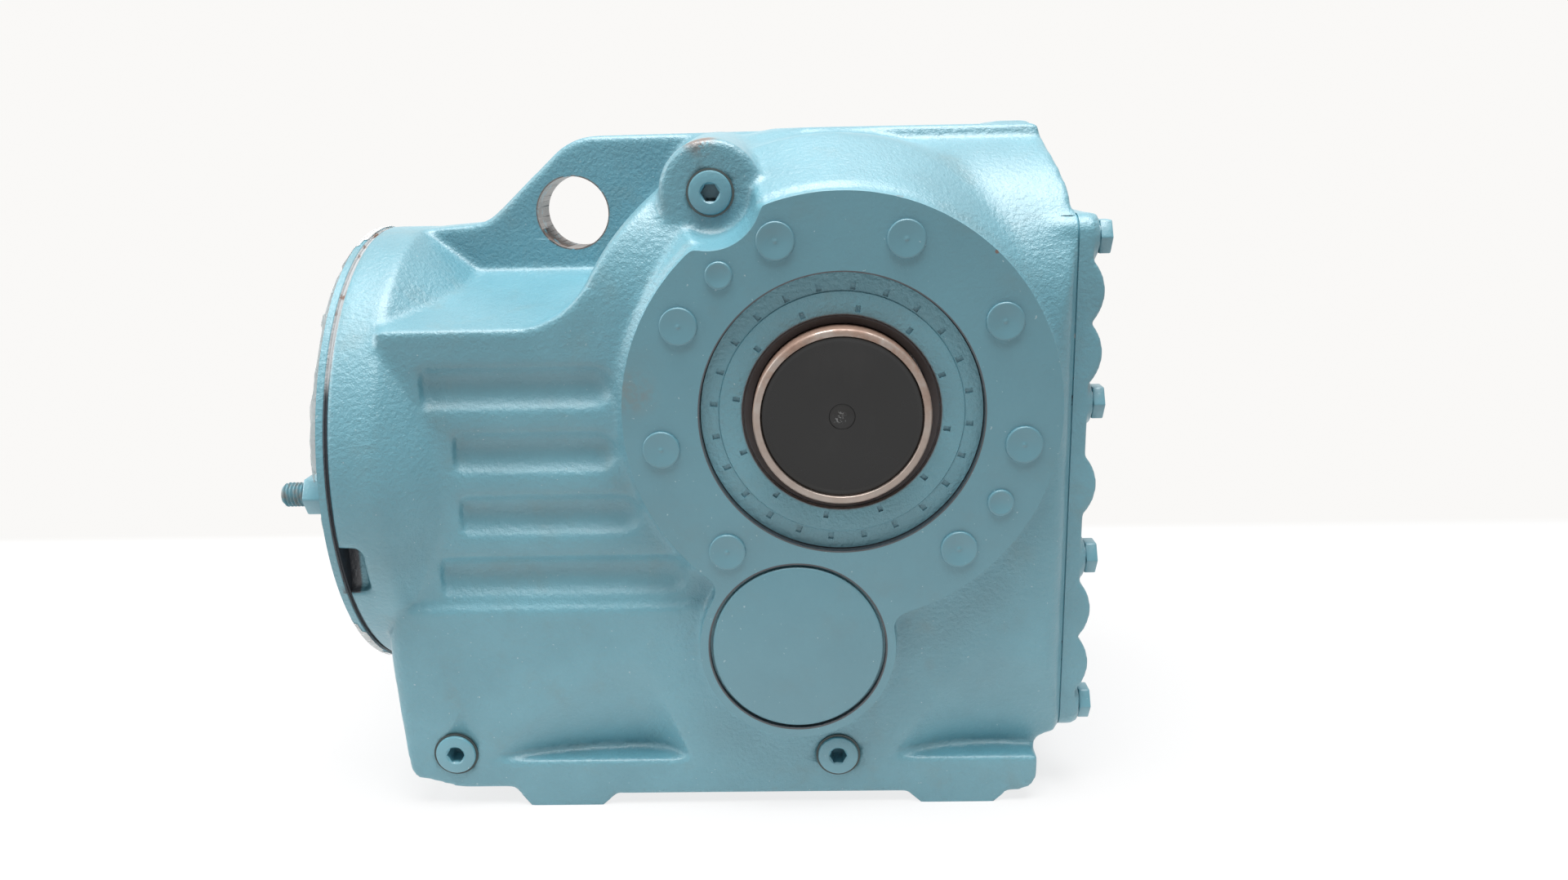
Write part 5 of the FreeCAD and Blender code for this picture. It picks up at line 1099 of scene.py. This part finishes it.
def add_face_caps():
    """Thin pressed caps over the holes of the output face, some pressed in deeper than others."""
    caps = bmesh.new()
    for angle, dish in zip(BOLT_ANGLES, CAP_DISHES):
        add_turned(caps, hole_cap_outline(dish), on_circle(angle, -FACE_Y), Y_AXIS, 48)
    closed_up(caps)
    finished("pressed_hole_caps", caps, "painted_caps", ["hole_caps"], sharp=50)
    caps = bmesh.new()
    for angle in DOWEL_ANGLES:
        add_turned(caps, dowel_cap_outline(), on_circle(angle, -FACE_Y), Y_AXIS, 40)
    closed_up(caps)
    finished("pressed_dowel_caps", caps, "painted_caps", ["dowel_caps"], sharp=50)


SEAL_STEP_R = 58.6
SEAL_MOUTH_R = 47.2
SEAL_RING = ((97.1, 66.5), (97.1, SEAL_R), (109.9, SEAL_R), (110.35, SEAL_R - 0.45),
             (110.35, SEAL_STEP_R + 0.5), (SEAL_Y, SEAL_STEP_R), (SEAL_Y, SEAL_MOUTH_R + 1.8),
             (110.6, SEAL_MOUTH_R + 0.6), (109.6, SEAL_MOUTH_R), (106, SEAL_MOUTH_R + 0.2), (105, 53.2),
             (105, 66.5))
SEAL_LIP = ((102.4, SEAL_MOUTH_R + 0.8), (108.2, SEAL_MOUTH_R + 0.4), (108.4, 46.4), (107.2, 44.2),
            (106.4, 43.1), (105.6, 43.1), (106.0, 45.6), (102.4, 46.6))
# Two circles of pockets: count, radius, depth, width, height and the share of a step that they are turned by.
SEAL_POCKETS = ((24, 61.4, 1.6, 2.6, 3.6, 0.35), (12, 50.9, 1.2, 2.4, 3.4, 0.3))


def seal_pockets(side):
    pockets = bmesh.new()
    for count, radius, depth, wide, tall, turn in SEAL_POCKETS:
        low = mm(-wide / 2, SEAL_Y - depth, radius - tall / 2)
        high = mm(wide / 2, SEAL_Y + 2, radius + tall / 2)
        if side < 0:
            low.y, high.y = -high.y, -low.y
        for step in range(count):
            add_block(pockets, low, high, Matrix.Rotation(math.tau * (step + turn) / count, 4, "Y"))
    return pockets


def add_seals():
    """Shaft seals: a painted ring with a low step and two circles of pockets, and a dark lip in its mouth."""
    rings = bmesh.new()
    lips = copy_of("output_seal_lips")
    for side in (-1, 1):
        axis = Y_AXIS * side
        join(rings, drilled(turned(SEAL_RING, Vector(), axis, 144, True), [seal_pockets(side)]))
        join(lips, turned(SEAL_LIP, Vector(), axis, 96, True))
    finished("seal_rings", rings, "paint", ["output_seal_cases"])
    finished("seal_lips", lips, "lip_rubber", ["output_seal_lips"])


CAP_R = 38.72
CAP_BACK = ((-111, 0), (-111, CAP_R - 2.4), (-111.4, CAP_R - 1.2), (-112.4, CAP_R))
CAP_RIM = ((-117.2, CAP_R), (-117.9, CAP_R - 0.35), (-118.15, CAP_R - 1.0), (-118.0, CAP_R - 1.7),
           (-117.5, CAP_R - 2.2), (-117.3, CAP_R - 3.2))
CAP_FRONT = ((-117.2, 20), (-117.2, 6.3), (-116.75, 6.0), (-116.75, 5.6), (-117.1, 5.1), (-117.1, 1.4),
             (-117.5, 1.0), (-117.5, 0))


def add_shaft_cap():
    """Black push-in cap of the shaft bore, with a rolled rim and a gate mark at its middle."""
    form = turned(CAP_BACK + CAP_RIM + CAP_FRONT, Vector(), Y_AXIS, 128)
    finished("bore_cap", form, "black_cap", ["shaft_cap"], "output_shaft", sharp=50)


# Masking film of the input side

FILM_IN_R, FILM_OUT_R = 41, 127
FILM_CUT_R = 119.2
FILM_STEPS, FILM_RINGS = 180, 42
FILM_LIFT = 0.35
FILM_WALL = 0.12
FILM_RAGGED, FILM_OVER = 1.6, 7.5
NUT_OPENING_R = 13.2
# Where the film is folded over the rim, and where it bulges: angle, width and share, or height.
FILM_FOLDS = ((-56, 34, 1.0), (84, 26, 0.8))
FILM_BULGES = ((14, 34, 3.6), (52, 30, 3.2), (150, 60, 2.0), (-140, 60, 1.6))
BULGE_IN_R, BULGE_WIDTH = 84, 34


def swell(angle, middle, width):
    """A smooth hump over an angle, one at its middle and nought a width away."""
    off = abs((angle - middle + 180) % 360 - 180) / width
    return 0.5 + 0.5 * math.cos(math.pi * off) if off < 1 else 0.0


def fold(angle):
    return max(share * swell(angle, middle, width) for middle, width, share in FILM_FOLDS)


def ragged_edge(angle, scale):
    turn = math.radians(angle)
    return noise.noise(Vector((math.cos(turn) * scale, math.sin(turn) * scale, 3.1)))


def on_plate(spot):
    """Radius from the input axis in millimetres, and angle from the front, upwards, in degrees."""
    rise = spot.z - INPUT_Z * MM
    return math.hypot(spot.y, rise) / MM, math.degrees(math.atan2(rise, -spot.y))


def cut_film(form):
    """Cuts the ring's ragged edges and the openings for the nuts."""
    gone = []
    for face in form.faces:
        spot = face.calc_center_median()
        out, angle = on_plate(spot)
        edge = FILM_CUT_R + FILM_RAGGED * ragged_edge(angle, 9) + FILM_OVER * min(1, 1.6 * fold(angle))
        nut = min((spot - mm(0, side * STUD_Y, INPUT_Z)).length for side in (-1, 1)) / MM
        if out > edge or nut < NUT_OPENING_R or out < FILM_IN_R + 1.5 + 1.5 * ragged_edge(angle, 7):
            gone.append(face)
    bmesh.ops.delete(form, geom=gone, context="FACES")


def lay_film(form):
    """Lays the cut film on the plate with its wrinkles, and folds it over the rim."""
    middle = INPUT_Z * MM
    for vert in form.verts:
        out, angle = on_plate(vert.co)
        held = fold(angle)
        rise = max(0.0, min(1.0, (out - BULGE_IN_R) / BULGE_WIDTH))
        bulge = sum(height * swell(angle, place, width) for place, width, height in FILM_BULGES)
        wrinkle = noise.noise(vert.co * 55) + 0.5 * noise.noise(vert.co * 140)
        lift = FILM_LIFT + bulge * rise * rise * (1 - held)
        lift += abs(wrinkle) * (0.5 + 1.0 * rise * (1 - 0.7 * held))
        over = max(0.0, out - NECK_R - 0.1)
        if over:
            scale = (NECK_R + FILM_LIFT + 0.25 * abs(wrinkle)) / out
            vert.co.y *= scale
            vert.co.z = middle + (vert.co.z - middle) * scale
            lift = FILM_LIFT - over
        vert.co.x = (PLATE_X - lift) * MM
    bmesh.ops.smooth_vert(form, verts=form.verts, factor=0.35, use_axis_x=True, use_axis_y=True,
                          use_axis_z=True)


def add_film():
    """Crumpled film left on the input plate: a ring cut for shaft and nuts, folded over the rim twice."""
    form = bmesh.new()
    centre = mm(0, 0, INPUT_Z)
    gap = (FILM_OUT_R - FILM_IN_R) / FILM_RINGS
    line = [form.verts.new(centre + mm(0, -(FILM_IN_R + gap * step), 0)) for step in range(FILM_RINGS + 1)]
    edges = [form.edges.new(pair) for pair in zip(line, line[1:])]
    bmesh.ops.spin(form, geom=line + edges, cent=centre, axis=X_AXIS, dvec=(0, 0, 0), angle=math.tau,
                   steps=FILM_STEPS, use_merge=True)
    bmesh.ops.remove_doubles(form, verts=form.verts, dist=1e-6)
    cut_film(form)
    flat_area = sum(face.calc_area() for face in form.faces)
    lay_film(form)
    bmesh.ops.recalc_face_normals(form, faces=form.faces)
    bmesh.ops.solidify(form, geom=form.faces[:], thickness=FILM_WALL * MM)
    piece = finished("rim_film", form, "film", ["masking_film"], sharp=60)


add_castings()
add_machined()
add_cover_bolts()
add_studs()
add_plugs()
add_face_caps()
add_seals()
add_shaft_cap()
add_film()


# Studio

AMBIENT = (0.05, 0.05, 0.055)
BACKDROP = (0.955, 0.945, 0.930)
FLOOR_SEEN = (0.8, 0.8, 0.8)
FLOOR_SHADED = (0.17, 0.17, 0.17)
FLOOR_NEAR = (0.97, 0.965, 0.95)
FLOOR_FAR = (0.20, 0.20, 0.20)
BLACK = (0.0, 0.0, 0.0)
FLOOR_HALF = 6000
# Where the floor turns into the backdrop on Y, and where its reflected light fades out, in metres.
FLOOR_BACK = (0.33, 0.36)
FLOOR_FADE = (0.30, 0.70)


def add_floor():
    """A pale floor that keeps the gearbox's shadow, and turns into the backdrop behind it."""
    form = bmesh.new()
    bmesh.ops.create_grid(form, x_segments=1, y_segments=1, size=FLOOR_HALF * MM)
    bmesh.ops.translate(form, verts=form.verts, vec=mm(0, 0, BASE_Z))
    mesh = bpy.data.meshes.new("floor")
    form.to_mesh(mesh)
    form.free()
    floor = linked("floor", mesh)
    finish = Finish("floor")
    back = finish.span(finish.axis("Y"), *FLOOR_BACK)
    seen = finish.mix(back, FLOOR_SEEN, BACKDROP)
    rays = finish.node("LightPath")
    direct = finish.either(rays.outputs["Is Camera Ray"], rays.outputs["Is Glossy Ray"],
                           rays.outputs["Is Transmission Ray"])
    away = finish.span(finish.from_line(x=-60, y=-60), *FLOOR_FADE)
    matt = finish.node("BsdfDiffuse", Color=finish.mix(away, FLOOR_NEAR, FLOOR_FAR))
    dim = finish.node("BsdfDiffuse", Color=finish.mix(back, FLOOR_SHADED, BLACK))
    glow = finish.node("Emission", Color=seen, Strength=1.0)
    both = finish.node("AddShader")
    finish.tree.links.new(dim.outputs[0], both.inputs[0])
    finish.tree.links.new(glow.outputs[0], both.inputs[1])
    pick = finish.node("MixShader")
    finish.feed(pick.inputs[0], direct)
    finish.tree.links.new(matt.outputs[0], pick.inputs[1])
    finish.tree.links.new(both.outputs[0], pick.inputs[2])
    finish.tree.links.new(pick.outputs[0], finish.tree.nodes["Material Output"].inputs["Surface"])
    mesh.materials.append(finish.material)


def add_lamp(name, place, target, width, height, power):
    """A soft rectangular lamp, with its places and sizes in metres."""
    data = bpy.data.lights.new(name, "AREA")
    data.shape = "RECTANGLE"
    data.size, data.size_y = width, height
    data.energy = power
    lamp = bpy.data.objects.new(name, data)
    bpy.context.scene.collection.objects.link(lamp)
    lamp.location = place
    lamp.rotation_euler = (Vector(target) - Vector(place)).to_track_quat("-Z", "Y").to_euler()


def add_world():
    """Dim light from all round, with the pale backdrop wherever the camera or a reflection sees it."""
    world = bpy.data.worlds.new("studio")
    bpy.context.scene.world = world
    world.use_nodes = True
    nodes, links = world.node_tree.nodes, world.node_tree.links
    rays = nodes.new("ShaderNodeLightPath")
    seen = rays.outputs["Is Camera Ray"]
    for name in ("Is Glossy Ray", "Is Transmission Ray"):
        pick = nodes.new("ShaderNodeMath")
        pick.operation = "MAXIMUM"
        links.new(seen, pick.inputs[0])
        links.new(rays.outputs[name], pick.inputs[1])
        seen = pick.outputs[0]
    shade = nodes.new("ShaderNodeMix")
    shade.data_type = "RGBA"
    links.new(seen, shade.inputs["Factor"])
    colours = [s for s in shade.inputs if s.type == "RGBA"]
    colours[0].default_value = (*AMBIENT, 1)
    colours[1].default_value = (*BACKDROP, 1)
    links.new([s for s in shade.outputs if s.type == "RGBA"][0], nodes["Background"].inputs["Color"])


add_floor()
add_lamp("overhead", (0.0, -0.35, 2.3), (0, -0.1, 0), width=2.0, height=1.6, power=98)
add_lamp("left_side", (-1.7, -0.25, 0.75), (-0.1, 0, -0.1), width=1.0, height=1.0, power=14)
add_world()
set_camera()
bpy.context.scene.view_settings.view_transform = "Standard"
